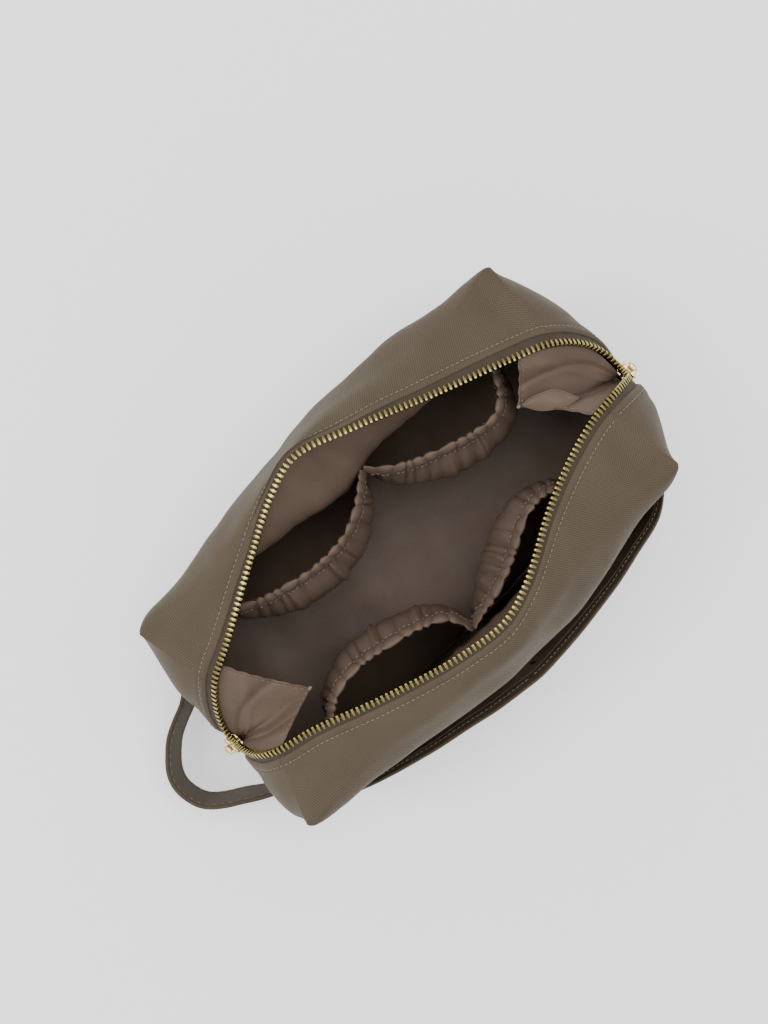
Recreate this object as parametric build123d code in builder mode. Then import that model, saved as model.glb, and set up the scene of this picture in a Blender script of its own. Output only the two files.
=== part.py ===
"""Soft zip-top makeup bag standing open: shell, lining, zip, pockets, side handle."""
from build123d import *
from math import atan2, cos, degrees, radians, sin
import os

os.makedirs("parts", exist_ok=True)

# ---- driving dimensions, mm; +X along the bag, +Y to its back wall, base on Z = 0 ----
FABRIC = 1.2            # outer cloth with its interlining
LINING = 0.7            # satin lining
GAP = 0.3               # air between neighbouring pieces
BASE_LENGTH = 232.0
BASE_WIDTH = 119.0
BASE_CORNER_R = 13.0
WALL_FOOT_Z = FABRIC + GAP
LOW_Z = 40.0            # height of the lower control point of each wall
BELLY_Z = 80.0          # height where the long walls stand out most
LINING_INSET = 5.0      # lining stands this far inside the foot of the wall
HEM_Z = 88.0            # top of the gathered inner pockets

# wall stations: x, foot y, belly y, shoulder y, shoulder z, edge y, edge z, lining y
BACK_WALL = (
    (-113.0, 53.0, 58.0, 54.0, 100.0, 29.0, 103.0, 44.0),
    (-86.0, 58.5, 66.0, 60.0, 107.0, 38.0, 111.5, 46.0),
    (-52.0, 59.0, 72.0, 68.0, 111.0, 58.2, 118.5, 45.0),
    (-12.0, 59.5, 76.0, 75.8, 111.0, 74.0, 128.0, 42.0),
    (28.0, 59.5, 76.0, 73.0, 111.0, 62.5, 127.0, 42.0),
    (64.0, 59.0, 74.0, 67.0, 110.0, 48.5, 118.0, 41.0),
    (94.0, 58.5, 71.0, 62.0, 107.0, 37.5, 111.5, 42.0),
    (116.0, 53.0, 64.0, 59.0, 101.0, 31.0, 105.5, 46.0),
)
FRONT_WALL = (
    (-115.0, -53.0, -59.0, -57.0, 101.0, -34.5, 105.0, -45.0),
    (-90.0, -58.5, -68.0, -62.0, 107.0, -40.0, 112.0, -47.0),
    (-52.0, -59.0, -75.0, -69.0, 111.0, -52.5, 118.5, -52.0),
    (-12.0, -59.5, -80.0, -75.0, 112.0, -62.5, 126.0, -55.0),
    (18.0, -59.5, -81.0, -75.0, 112.0, -63.5, 127.5, -54.0),
    (50.0, -59.0, -78.0, -69.0, 111.0, -49.0, 122.0, -47.0),
    (88.0, -58.5, -70.0, -61.0, 107.0, -31.5, 112.5, -43.0),
    (114.0, -53.0, -60.0, -57.0, 101.0, -28.0, 106.5, -44.0),
)

# zip: each path follows the tips of one row of teeth from tail to tail
TAIL_FOOT_Z = 40.0
TAIL_TOP_Z = 72.0
TAIL_LEAD = 2.0         # first stretch above a tail, still upright
ROW_GAP = 0.7           # half the space between the rows in the closed tails
LEFT_TAIL = (-125.5, -11.0)
RIGHT_TAIL = (136.0, -16.0)
BACK_MOUTH = (
    (-124.8, -7.2, 78.5), (-122.8, -1.5, 83.5), (-118.5, 6.0, 90.0), (-109.0, 16.0, 99.5),
    (-90.0, 26.0, 109.0), (-55.0, 45.5, 118.0), (-26.0, 60.0, 126.5), (-8.0, 65.0, 129.5),
    (22.0, 55.5, 129.0), (59.0, 41.0, 119.5), (95.0, 28.0, 111.5), (115.0, 20.0, 105.0),
    (127.0, 10.5, 95.5), (133.5, 0.5, 86.5), (135.6, -10.5, 79.5),
)
FRONT_MOUTH = (
    (-124.8, -13.6, 78.5), (-123.0, -17.2, 85.5), (-119.0, -21.3, 94.0), (-109.0, -26.0, 104.0),
    (-90.0, -30.5, 111.0), (-57.0, -42.0, 118.0), (-15.0, -53.5, 126.0), (10.0, -56.0, 128.0),
    (27.0, -51.0, 127.0), (60.0, -34.0, 120.0), (82.0, -25.0, 114.0), (104.0, -19.0, 108.0),
    (122.0, -17.2, 98.5), (131.0, -16.9, 87.5), (135.0, -16.8, 79.0),
)
TOOTH_PITCH = 2.6
TOOTH_WIDTH = 2.8
TOOTH_LENGTH = 1.4
TOOTH_THICK = 2.4
TAPE_WIDTH = 4.2
TAPE_THICK = 0.8
TAPE_STATIONS = 84

# end panels: z, edge x, middle x, front y, back y of each level
LEFT_END = ((1.5, -117.0, -120.0, -50.0, 50.0), (52.0, -117.5, -126.5, -56.0, 55.0),
            (101.0, -117.5, -122.0, -54.0, 51.0))
RIGHT_END = ((1.5, 118.0, 121.5, -50.0, 50.0), (52.0, 119.0, 135.5, -57.0, 60.0),
             (101.0, 119.0, 133.5, -54.0, 56.0))
NOTCH_SIDE = 9.0        # cloth edge to the tips of the teeth beside the tails
NOTCH_SPREAD = 14.5     # the same higher up, where the rows lean apart

SLIDER_LENGTH = 11.0
SLIDER_WIDTH = 9.6
SLIDER_PLATE = 1.2
SLIDER_SPACE = 3.2      # between its two plates
WEDGE_WIDTH = 0.7
PIN_R = 0.8
PIN_REACH = 2.6         # pin axis above the outer plate
EAR = 1.0
PULL_LENGTH = 24.0
PULL_WIDTH = 5.4
PULL_THICK = 1.4
KNUCKLE_R = 1.9
KNUCKLE_BORE_R = 1.15
KNUCKLE_WIDTH = 3.6
PULL_BAR_R = 1.5
PULL_BAR_LENGTH = 9.0

STRAP_WIDTH = 25.0
STRAP_THICK = 2.5
STRAP_Z = 13.5
STRAP_PATH = ((-124.5, 22.6), (-137.0, 18.6), (-153.0, 12.0), (-167.0, -3.0), (-166.0, -22.0),
              (-152.0, -34.0), (-137.0, -43.4), (-124.5, -49.8))
STRAP_HINGE_X = -137.0
ANCHOR_BACK = ((-121.5, 49.0), (-124.6, 38.0), (-126.4, 26.5))
ANCHOR_FRONT = ((-119.8, -52.0), (-125.0, -49.6), (-131.0, -46.6))

POCKET_PIVOT = (-63.5, 3.0)
POCKET_HEM_Z = 70.0
# slip pocket stations: x, hem y
POCKET_HEM = ((-102.0, -76.0), (-62.0, -88.0), (-20.0, -93.5), (20.0, -94.0), (62.0, -89.0),
              (102.0, -76.5))
HEM_BEAD = 2.2
SNAP_X = 2.5
SNAP_Z = 61.0
SNAP_R = 7.0
SNAP_THICK = 1.2
STUD_R = 2.6

POCKET_FOOT_Z = 9.0
POCKET_CLEAR = 3.6
GATHER_HEIGHT = 8.0
GATHER_THICK = 2.6
# gathered pockets: x and y along each hem
HEM_BACK_LEFT = ((-88.0, 42.0), (-74.0, 33.5), (-53.0, 26.0), (-37.0, 22.8), (-18.0, 23.5),
                 (-3.0, 29.0), (7.0, 38.5))
HEM_BACK_RIGHT = ((17.0, 37.5), (30.0, 27.0), (46.0, 20.0), (62.0, 15.5), (75.0, 14.5),
                  (84.0, 21.0), (92.0, 38.0))
HEM_FRONT_LEFT = ((-88.0, -43.5), (-76.0, -30.0), (-54.0, -26.0), (-38.0, -29.0), (-21.0, -33.0),
                  (-9.0, -39.5), (-5.0, -50.5))
HEM_FRONT_RIGHT = ((4.0, -50.0), (14.0, -47.5), (27.0, -42.5), (40.0, -36.0), (54.0, -29.5),
                   (68.0, -28.5), (80.0, -40.0))
HEM_SHARE = ((POCKET_FOOT_Z, 0.12), (50.0, 0.62), (HEM_Z - GATHER_HEIGHT, 0.96))

TUCK_THICK = 1.0
LEFT_TUCK = ((-101.0, 5.0), (-79.0, -16.0), (-109.0, -22.0), (-106.5, -13.0))
LEFT_TUCK_Z = 94.0
RIGHT_TUCK = ((101.0, 16.0), (86.0, 9.0), (106.0, -11.0), (119.0, -7.0))
RIGHT_TUCK_Z = 94.0


# ---- shared shapes ----
def side_of(row):
    """+1 for a back wall station, -1 for a front one."""
    return 1.0 if row[1] > 0 else -1.0


def outer_points(row):
    x, foot, belly, shoulder, shoulder_z, edge, edge_z, lining = row
    return [(foot, WALL_FOOT_Z), (0.5 * (foot + belly), LOW_Z), (belly, BELLY_Z),
            (shoulder, shoulder_z), (edge, edge_z)]


def lining_points(row):
    x, foot, belly, shoulder, shoulder_z, edge, edge_z, lining = row
    side = side_of(row)
    return [(foot - side * LINING_INSET, WALL_FOOT_Z + LINING + 2 * GAP),
            (0.5 * (foot + lining) - side * LINING_INSET / 2, LOW_Z),
            (lining, HEM_Z - GAP),
            (0.5 * (lining + min(edge, shoulder, key=abs)), 0.5 * (HEM_Z + edge_z)),
            (edge - side * 2.0, edge_z - 4 * FABRIC)]


def pushed_in(points, side, depth):
    """The same run of points moved by depth towards the inside of the bag."""
    moved = []
    for i, (y, z) in enumerate(points):
        before, after = points[max(i - 1, 0)], points[min(i + 1, len(points) - 1)]
        lean = atan2(after[0] - before[0], after[1] - before[1])
        moved.append((y - side * depth * abs(cos(lean)), z + side * depth * sin(lean)))
    return moved


def wall_loft(rows, shape, thickness):
    """Skin of one thickness drawn through every station of a long wall."""
    sections = []
    for row in rows:
        near = shape(row)
        far = pushed_in(near, side_of(row), thickness)
        with BuildSketch(Plane(origin=(row[0], 0, 0), x_dir=(0, 1, 0), z_dir=(1, 0, 0))) as section:
            with BuildLine():
                face = Spline(*near)
                back = Spline(*reversed(far))
                Line(face @ 1, back @ 0)
                Line(back @ 1, face @ 0)
            make_face()
        sections.append(section.sketch)
    loft(sections)


def end_loft(levels, inset, thickness, trim=0.0):
    """Bowed end panel between its levels, inset and trimmed when it is the lining."""
    inward = 1.0 if levels[0][1] < 0 else -1.0
    sections = []
    for z, edge_x, middle_x, front_y, back_y in levels:
        near, far = inset * inward, (inset + thickness) * inward
        middle_y = 0.5 * (front_y + back_y)
        with BuildSketch(Plane.XY.offset(z)) as section:
            with BuildLine():
                face = ThreePointArc((edge_x + near, front_y + trim), (middle_x + near, middle_y),
                                     (edge_x + near, back_y - trim))
                back = ThreePointArc((edge_x + far, back_y - trim), (middle_x + far, middle_y),
                                     (edge_x + far, front_y + trim))
                Line(face @ 1, back @ 0)
                Line(back @ 1, face @ 0)
            make_face()
        sections.append(section.sketch)
    loft(sections)


def notch(tail, back_run, front_run, foot_z, side):
    """Open the end panel for the zip: straight round the tail, then spreading upwards."""
    y = tail[1]
    low = [(y + side, foot_z), (y + side, TAIL_TOP_Z)]
    high = [(y - side, TAIL_TOP_Z), (y - side, foot_z)]
    over = 30.0
    spread = side + NOTCH_SPREAD - NOTCH_SIDE
    right = [(p[1] + spread, p[2]) for p in back_run]
    left = [(p[1] - spread, p[2]) for p in front_run]
    top = [(right[-1][0], right[-1][1] + over), (left[-1][0], left[-1][1] + over)]
    with BuildSketch(Plane(origin=(tail[0], 0, 0), x_dir=(0, 1, 0), z_dir=(1, 0, 0))) as opening:
        with BuildLine():
            Polyline(*low, *right, *top, *reversed(left), *high, close=True)
        make_face()
    extrude(opening.sketch, amount=over, both=True, mode=Mode.SUBTRACT)


def zip_path(mouth, side):
    """One row's line: straight left tail, round the mouth, straight right tail."""
    left, right = [[Vector(tail[0], tail[1] + side * ROW_GAP, z) for z in (TAIL_FOOT_Z, TAIL_TOP_Z)]
                   for tail in (LEFT_TAIL, RIGHT_TAIL)]
    rise = Vector(0, 0, TAIL_LEAD)
    run = Edge.make_spline([left[1], left[1] + rise, *[Vector(*p) for p in mouth],
                            right[1] + rise, right[1]])
    return Wire([Edge.make_line(*left), run, Edge.make_line(right[1], right[0])])


def zip_plane(path, share):
    """Plane square to the row, its own x across the tape towards +Y."""
    ahead = path.tangent_at(share)
    across = Vector(0, 1, 0) - ahead * ahead.Y
    return Plane(origin=path.position_at(share), x_dir=across, z_dir=ahead)


def tape_loft(path, side):
    sections = []
    for i in range(TAPE_STATIONS + 1):
        with BuildSketch(zip_plane(path, i / TAPE_STATIONS)) as section:
            with Locations((side * (TOOTH_WIDTH + GAP + TAPE_WIDTH / 2), 0)):
                Rectangle(TAPE_WIDTH, TAPE_THICK)
        sections.append(section.sketch)
    loft(sections, ruled=True)


def teeth_row(path, side, phase):
    count = int(path.length / TOOTH_PITCH)
    for i in range(count):
        plane = zip_plane(path, (i + 0.4 + phase) / count)
        with Locations(plane.location * Location((side * TOOTH_WIDTH / 2, 0, 0))):
            Box(TOOTH_WIDTH, TOOTH_THICK, TOOTH_LENGTH)


def end_stop(tail):
    with Locations((tail[0], tail[1], TAIL_FOOT_Z - 2.6)):
        Box(TOOTH_THICK, 2 * TOOTH_WIDTH + 2 * ROW_GAP, 3.0)


def slider(tail, out):
    """Two plates round the chain, wedge between them at the top, ears and pin outside."""
    x, y = tail
    z = TAIL_TOP_Z - SLIDER_LENGTH / 2 - 0.5
    for reach in (-1, 1):
        with Locations((x + reach * (SLIDER_SPACE + SLIDER_PLATE) / 2, y, z)):
            Box(SLIDER_PLATE, SLIDER_WIDTH, SLIDER_LENGTH)
    with Locations((x, y, z + SLIDER_LENGTH / 2 - 1.6)):
        Box(SLIDER_SPACE, WEDGE_WIDTH, 3.2)
    face_x = x + out * (SLIDER_SPACE / 2 + SLIDER_PLATE)
    for side in (-1, 1):
        with Locations((face_x + out * (PIN_REACH + 1.2) / 2, y + side * (KNUCKLE_WIDTH / 2 + 0.9), z)):
            Box(PIN_REACH + 1.2, EAR, 4.0)
    with Locations(Location((face_x + out * PIN_REACH, y, z), (90, 0, 0))):
        Cylinder(PIN_R, KNUCKLE_WIDTH + 2 * EAR)


def pull(tail, out):
    """Knuckle on the slider's pin, flat blade hanging from it and a cross bar at its foot."""
    x = tail[0] + out * (SLIDER_SPACE / 2 + SLIDER_PLATE + PIN_REACH)
    y, z = tail[1], TAIL_TOP_Z - SLIDER_LENGTH / 2 - 0.5
    blade = PULL_LENGTH - KNUCKLE_R
    with Locations((x, y, z - KNUCKLE_R / 2 - blade / 2)):
        Box(PULL_THICK, KNUCKLE_WIDTH, blade + KNUCKLE_R)
    with Locations((x, y, z - PULL_LENGTH + 6.0)):
        Box(PULL_THICK, PULL_WIDTH, 12.0)
    with Locations(Location((x, y, z - PULL_LENGTH), (90, 0, 0))):
        Cylinder(PULL_BAR_R, PULL_BAR_LENGTH)
    with Locations(Location((x, y, z), (90, 0, 0))):
        Cylinder(KNUCKLE_R, KNUCKLE_WIDTH)
    with Locations(Location((x, y, z), (90, 0, 0))):
        Cylinder(KNUCKLE_BORE_R, KNUCKLE_WIDTH, mode=Mode.SUBTRACT)


def strap(points, tangents=None):
    """Strap standing on edge along a line in plan."""
    with BuildLine(Plane.XY.offset(STRAP_Z)) as run:
        Spline(*points, tangents=tangents)
    with BuildSketch(Plane(origin=run.line @ 0, z_dir=run.line % 0, x_dir=(0, 0, 1))) as section:
        Rectangle(STRAP_WIDTH, STRAP_THICK)
    sweep(section.sketch, path=run.line)


def lining_y(rows, x, z):
    """Y of the lining's inner face at one place, straight between stations."""
    spread = sorted(rows)
    i = next((k for k in range(1, len(spread)) if spread[k][0] >= x), len(spread) - 1)
    a, b = spread[i - 1], spread[i]
    share = (x - a[0]) / (b[0] - a[0])
    foot, top = (a[k] + share * (b[k] - a[k]) for k in (1, 7))
    foot -= side_of(a) * LINING_INSET
    middle = 0.5 * (foot + top)
    if z < LOW_Z:
        return foot + (middle - foot) * z / LOW_Z
    return middle + (top - middle) * (z - LOW_Z) / (HEM_Z - LOW_Z)


def gathered(rows, hem, levels, thickness):
    """Pocket skin between levels, each a share of the way out from the lining to the hem."""
    side = side_of(rows[0])
    sections = []
    for z, share in levels:
        clear = side * (LINING + POCKET_CLEAR + thickness)
        run = []
        for x, y in hem:
            bow = y - lining_y(rows, x, HEM_Z) + clear
            wall = lining_y(rows, x, min(z, HEM_Z)) - clear
            run.append((x, wall + share * min(0.0, side * bow) * side))
        with BuildSketch(Plane.XY.offset(z)) as section:
            with BuildLine():
                face = Spline(*run)
                back = Spline(*[(x, y + side * thickness) for x, y in reversed(run)])
                Line(face @ 1, back @ 0)
                Line(back @ 1, face @ 0)
            make_face()
        sections.append(section.sketch)
    loft(sections)


def pocket_loft(near, far, foot, top):
    """Slip pocket skin between two depths measured square to its slope."""
    sections = []
    for x, hem_y in POCKET_HEM:
        lean = atan2(POCKET_PIVOT[0] - hem_y, POCKET_HEM_Z - POCKET_PIVOT[1])
        corners = []
        for depth, height in ((near, foot), (near, top), (far, top), (far, foot)):
            along = (height - POCKET_PIVOT[1]) / cos(lean)
            corners.append((POCKET_PIVOT[0] - along * sin(lean) + depth * cos(lean),
                            POCKET_PIVOT[1] + along * cos(lean) + depth * sin(lean)))
        with BuildSketch(Plane(origin=(x, 0, 0), x_dir=(0, 1, 0), z_dir=(1, 0, 0))) as section:
            with BuildLine():
                Polyline(*corners, close=True)
            make_face()
        sections.append(section.sketch)
    loft(sections)


# ---- outer shell ----
with BuildPart() as outer_base_panel:
    with BuildSketch():
        RectangleRounded(BASE_LENGTH, BASE_WIDTH, BASE_CORNER_R)
    extrude(amount=FABRIC)
outer_base_panel.part.label = "outer_base_panel"
export_step(outer_base_panel.part, "parts/outer_base_panel.step")

with BuildPart() as outer_back_panel:
    wall_loft(BACK_WALL, outer_points, FABRIC)
outer_back_panel.part.label = "outer_back_panel"
export_step(outer_back_panel.part, "parts/outer_back_panel.step")

with BuildPart() as outer_front_panel:
    wall_loft(FRONT_WALL, outer_points, FABRIC)
outer_front_panel.part.label = "outer_front_panel"
export_step(outer_front_panel.part, "parts/outer_front_panel.step")

with BuildPart() as outer_left_end:
    end_loft(LEFT_END, 0, FABRIC)
    notch(LEFT_TAIL, BACK_MOUTH[1:4], FRONT_MOUTH[1:4], TAIL_FOOT_Z - 5, NOTCH_SIDE)
outer_left_end.part.label = "outer_left_end"
export_step(outer_left_end.part, "parts/outer_left_end.step")

with BuildPart() as outer_right_end:
    end_loft(RIGHT_END, 0, FABRIC)
    notch(RIGHT_TAIL, BACK_MOUTH[-2:-5:-1], FRONT_MOUTH[-2:-5:-1], TAIL_FOOT_Z - 5, NOTCH_SIDE)
outer_right_end.part.label = "outer_right_end"
export_step(outer_right_end.part, "parts/outer_right_end.step")

# ---- lining ----
with BuildPart() as lining_base:
    with BuildSketch(Plane.XY.offset(WALL_FOOT_Z)):
        RectangleRounded(BASE_LENGTH - 8, BASE_WIDTH - 12, BASE_CORNER_R)
    extrude(amount=LINING)
lining_base.part.label = "lining_base"
export_step(lining_base.part, "parts/lining_base.step")

with BuildPart() as lining_back:
    wall_loft(BACK_WALL, lining_points, LINING)
lining_back.part.label = "lining_back"
export_step(lining_back.part, "parts/lining_back.step")

with BuildPart() as lining_front:
    wall_loft(FRONT_WALL, lining_points, LINING)
lining_front.part.label = "lining_front"
export_step(lining_front.part, "parts/lining_front.step")

with BuildPart() as lining_left_end:
    end_loft(LEFT_END, FABRIC + GAP, LINING, trim=16.0)
    notch(LEFT_TAIL, BACK_MOUTH[1:4], FRONT_MOUTH[1:4], TAIL_FOOT_Z - 5, NOTCH_SIDE + 2)
    with Locations((LEFT_TAIL[0], 0, 0)):
        Box(30, 130, 2 * (WALL_FOOT_Z + LINING + GAP), mode=Mode.SUBTRACT)
lining_left_end.part.label = "lining_left_end"
export_step(lining_left_end.part, "parts/lining_left_end.step")

with BuildPart() as lining_right_end:
    end_loft(RIGHT_END, FABRIC + GAP, LINING, trim=16.0)
    notch(RIGHT_TAIL, BACK_MOUTH[-2:-5:-1], FRONT_MOUTH[-2:-5:-1], TAIL_FOOT_Z - 5, NOTCH_SIDE + 2)
    with Locations((RIGHT_TAIL[0], 0, 0)):
        Box(60, 130, 2 * (WALL_FOOT_Z + LINING + GAP), mode=Mode.SUBTRACT)
lining_right_end.part.label = "lining_right_end"
export_step(lining_right_end.part, "parts/lining_right_end.step")

# ---- gathered inner pockets ----
with BuildPart() as pocket_back_left:
    gathered(BACK_WALL, HEM_BACK_LEFT, HEM_SHARE, LINING)
pocket_back_left.part.label = "pocket_back_left"
export_step(pocket_back_left.part, "parts/pocket_back_left.step")

HEM_BAND = ((HEM_Z - GATHER_HEIGHT + GAP, 1.0), (HEM_Z, 1.0))
with BuildPart() as hem_back_left:
    gathered(BACK_WALL, HEM_BACK_LEFT, HEM_BAND, GATHER_THICK)
hem_back_left.part.label = "hem_back_left"
export_step(hem_back_left.part, "parts/hem_back_left.step")

with BuildPart() as pocket_back_right:
    gathered(BACK_WALL, HEM_BACK_RIGHT, HEM_SHARE, LINING)
pocket_back_right.part.label = "pocket_back_right"
export_step(pocket_back_right.part, "parts/pocket_back_right.step")

with BuildPart() as hem_back_right:
    gathered(BACK_WALL, HEM_BACK_RIGHT, HEM_BAND, GATHER_THICK)
hem_back_right.part.label = "hem_back_right"
export_step(hem_back_right.part, "parts/hem_back_right.step")

with BuildPart() as pocket_front_left:
    gathered(FRONT_WALL, HEM_FRONT_LEFT, HEM_SHARE, LINING)
pocket_front_left.part.label = "pocket_front_left"
export_step(pocket_front_left.part, "parts/pocket_front_left.step")

with BuildPart() as hem_front_left:
    gathered(FRONT_WALL, HEM_FRONT_LEFT, HEM_BAND, GATHER_THICK)
hem_front_left.part.label = "hem_front_left"
export_step(hem_front_left.part, "parts/hem_front_left.step")

with BuildPart() as pocket_front_right:
    gathered(FRONT_WALL, HEM_FRONT_RIGHT, HEM_SHARE, LINING)
pocket_front_right.part.label = "pocket_front_right"
export_step(pocket_front_right.part, "parts/pocket_front_right.step")

with BuildPart() as hem_front_right:
    gathered(FRONT_WALL, HEM_FRONT_RIGHT, HEM_BAND, GATHER_THICK)
hem_front_right.part.label = "hem_front_right"
export_step(hem_front_right.part, "parts/hem_front_right.step")

# ---- lining tucks at the ends of the mouth ----
with BuildPart() as corner_tuck_left:
    with BuildSketch(Plane.XY.offset(LEFT_TUCK_Z)):
        with BuildLine():
            Polyline(*LEFT_TUCK, close=True)
        make_face()
    extrude(amount=TUCK_THICK)
corner_tuck_left.part.label = "corner_tuck_left"
export_step(corner_tuck_left.part, "parts/corner_tuck_left.step")

with BuildPart() as corner_tuck_right:
    with BuildSketch(Plane.XY.offset(RIGHT_TUCK_Z)):
        with BuildLine():
            Polyline(*RIGHT_TUCK, close=True)
        make_face()
    extrude(amount=TUCK_THICK)
corner_tuck_right.part.label = "corner_tuck_right"
export_step(corner_tuck_right.part, "parts/corner_tuck_right.step")

# ---- zip ----
BACK_PATH = zip_path(BACK_MOUTH, 1)
FRONT_PATH = zip_path(FRONT_MOUTH, -1)

with BuildPart() as zip_tape_back:
    tape_loft(BACK_PATH, 1)
zip_tape_back.part.label = "zip_tape_back"
export_step(zip_tape_back.part, "parts/zip_tape_back.step")

with BuildPart() as zip_tape_front:
    tape_loft(FRONT_PATH, -1)
zip_tape_front.part.label = "zip_tape_front"
export_step(zip_tape_front.part, "parts/zip_tape_front.step")

with BuildPart() as zip_teeth_back:
    teeth_row(BACK_PATH, 1, 0.0)
zip_teeth_back.part.label = "zip_teeth_back"
export_step(zip_teeth_back.part, "parts/zip_teeth_back.step")

with BuildPart() as zip_teeth_front:
    teeth_row(FRONT_PATH, -1, 0.5)
zip_teeth_front.part.label = "zip_teeth_front"
export_step(zip_teeth_front.part, "parts/zip_teeth_front.step")

with BuildPart() as zip_stop_left:
    end_stop(LEFT_TAIL)
zip_stop_left.part.label = "zip_stop_left"
export_step(zip_stop_left.part, "parts/zip_stop_left.step")

with BuildPart() as zip_stop_right:
    end_stop(RIGHT_TAIL)
zip_stop_right.part.label = "zip_stop_right"
export_step(zip_stop_right.part, "parts/zip_stop_right.step")

with BuildPart() as zip_slider_left:
    slider(LEFT_TAIL, -1)
zip_slider_left.part.label = "zip_slider_left"
export_step(zip_slider_left.part, "parts/zip_slider_left.step")

with BuildPart() as zip_slider_right:
    slider(RIGHT_TAIL, 1)
zip_slider_right.part.label = "zip_slider_right"
export_step(zip_slider_right.part, "parts/zip_slider_right.step")

with BuildPart() as zip_pull_left:
    pull(LEFT_TAIL, -1)
zip_pull_left.part.label = "zip_pull_left"
export_step(zip_pull_left.part, "parts/zip_pull_left.step")

with BuildPart() as zip_pull_right:
    pull(RIGHT_TAIL, 1)
zip_pull_right.part.label = "zip_pull_right"
export_step(zip_pull_right.part, "parts/zip_pull_right.step")

# ---- side handle ----
with BuildPart() as handle_strap:
    strap(STRAP_PATH)
    with BuildSketch(Plane(origin=(STRAP_HINGE_X, 0, STRAP_Z), x_dir=(1, 0, 0), z_dir=(0, -1, 0))):
        Circle(STRAP_WIDTH / 2)
        with Locations((-STRAP_WIDTH, 0)):
            Rectangle(2 * STRAP_WIDTH, STRAP_WIDTH)
    extrude(amount=BASE_WIDTH, both=True, mode=Mode.INTERSECT)
handle_strap.part.label = "handle_strap"
export_step(handle_strap.part, "parts/handle_strap.step")

with BuildPart() as handle_anchor_back:
    strap(ANCHOR_BACK)
handle_anchor_back.part.label = "handle_anchor_back"
export_step(handle_anchor_back.part, "parts/handle_anchor_back.step")

with BuildPart() as handle_anchor_front:
    strap(ANCHOR_FRONT)
    with Locations(Location((STRAP_HINGE_X, ANCHOR_FRONT[1][1], STRAP_Z), (90, 0, 0))):
        Cylinder(STRAP_WIDTH / 2 + GAP, STRAP_WIDTH, mode=Mode.SUBTRACT)
handle_anchor_front.part.label = "handle_anchor_front"
export_step(handle_anchor_front.part, "parts/handle_anchor_front.step")

# ---- front slip pocket ----
with BuildPart() as slip_pocket_panel:
    pocket_loft(-FABRIC, 0, POCKET_PIVOT[1], POCKET_HEM_Z)
slip_pocket_panel.part.label = "slip_pocket_panel"
export_step(slip_pocket_panel.part, "parts/slip_pocket_panel.step")

with BuildPart() as slip_pocket_lining:
    pocket_loft(GAP, GAP + LINING, POCKET_PIVOT[1] + 4, POCKET_HEM_Z)
slip_pocket_lining.part.label = "slip_pocket_lining"
export_step(slip_pocket_lining.part, "parts/slip_pocket_lining.step")

with BuildPart() as slip_pocket_hem:
    pocket_loft(-FABRIC, GAP + LINING, POCKET_HEM_Z + GAP, POCKET_HEM_Z + GAP + HEM_BEAD)
slip_pocket_hem.part.label = "slip_pocket_hem"
export_step(slip_pocket_hem.part, "parts/slip_pocket_hem.step")

LEAN = atan2(POCKET_PIVOT[0] + 94.0, POCKET_HEM_Z - POCKET_PIVOT[1])
SNAP_RISE = (SNAP_Z - POCKET_PIVOT[1]) / cos(LEAN)
with BuildPart() as snap_socket:
    with BuildSketch(Plane(
            origin=(SNAP_X, POCKET_PIVOT[0] - SNAP_RISE * sin(LEAN), SNAP_Z),
            x_dir=(1, 0, 0), z_dir=(0, cos(LEAN), sin(LEAN))).offset(2 * GAP + LINING + GAP)):
        Circle(SNAP_R)
        Circle(STUD_R + GAP, mode=Mode.SUBTRACT)
    extrude(amount=SNAP_THICK)
snap_socket.part.label = "snap_socket"
export_step(snap_socket.part, "parts/snap_socket.step")

WALL_SLOPE = radians(12.5)
with BuildPart() as snap_stud:
    with BuildSketch(Plane(
            origin=(SNAP_X, -79.3, SNAP_Z),
            x_dir=(1, 0, 0), z_dir=(0, -cos(WALL_SLOPE), -sin(WALL_SLOPE)))):
        Circle(SNAP_R)
    extrude(amount=SNAP_THICK)
snap_stud.part.label = "snap_stud"
export_step(snap_stud.part, "parts/snap_stud.step")
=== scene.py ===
import math

import bmesh
import bpy
import numpy as np
from mathutils import Matrix, Vector


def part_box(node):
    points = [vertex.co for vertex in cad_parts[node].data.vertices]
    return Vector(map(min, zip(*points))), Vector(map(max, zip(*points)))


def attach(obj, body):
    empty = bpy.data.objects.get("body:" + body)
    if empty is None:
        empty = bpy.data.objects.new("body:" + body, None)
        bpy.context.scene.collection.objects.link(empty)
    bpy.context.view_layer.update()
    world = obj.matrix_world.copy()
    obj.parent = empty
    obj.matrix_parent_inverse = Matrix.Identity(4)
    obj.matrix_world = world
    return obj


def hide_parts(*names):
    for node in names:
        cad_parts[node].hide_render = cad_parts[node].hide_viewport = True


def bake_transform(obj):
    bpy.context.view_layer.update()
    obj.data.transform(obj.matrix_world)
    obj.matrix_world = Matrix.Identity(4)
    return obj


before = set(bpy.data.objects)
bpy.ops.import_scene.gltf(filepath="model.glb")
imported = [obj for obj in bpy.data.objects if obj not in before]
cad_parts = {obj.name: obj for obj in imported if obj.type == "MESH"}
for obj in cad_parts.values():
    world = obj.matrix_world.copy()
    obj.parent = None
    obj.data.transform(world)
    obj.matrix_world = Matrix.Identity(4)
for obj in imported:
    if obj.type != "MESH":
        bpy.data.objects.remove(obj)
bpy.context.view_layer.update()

# ---------------------------------------------------------------------------------------
# The setting: a pale floor, one broad window-like light from the handle side, a soft fill
# and a camera looking straight down on the open bag.
# ---------------------------------------------------------------------------------------
MM = 0.001


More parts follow.
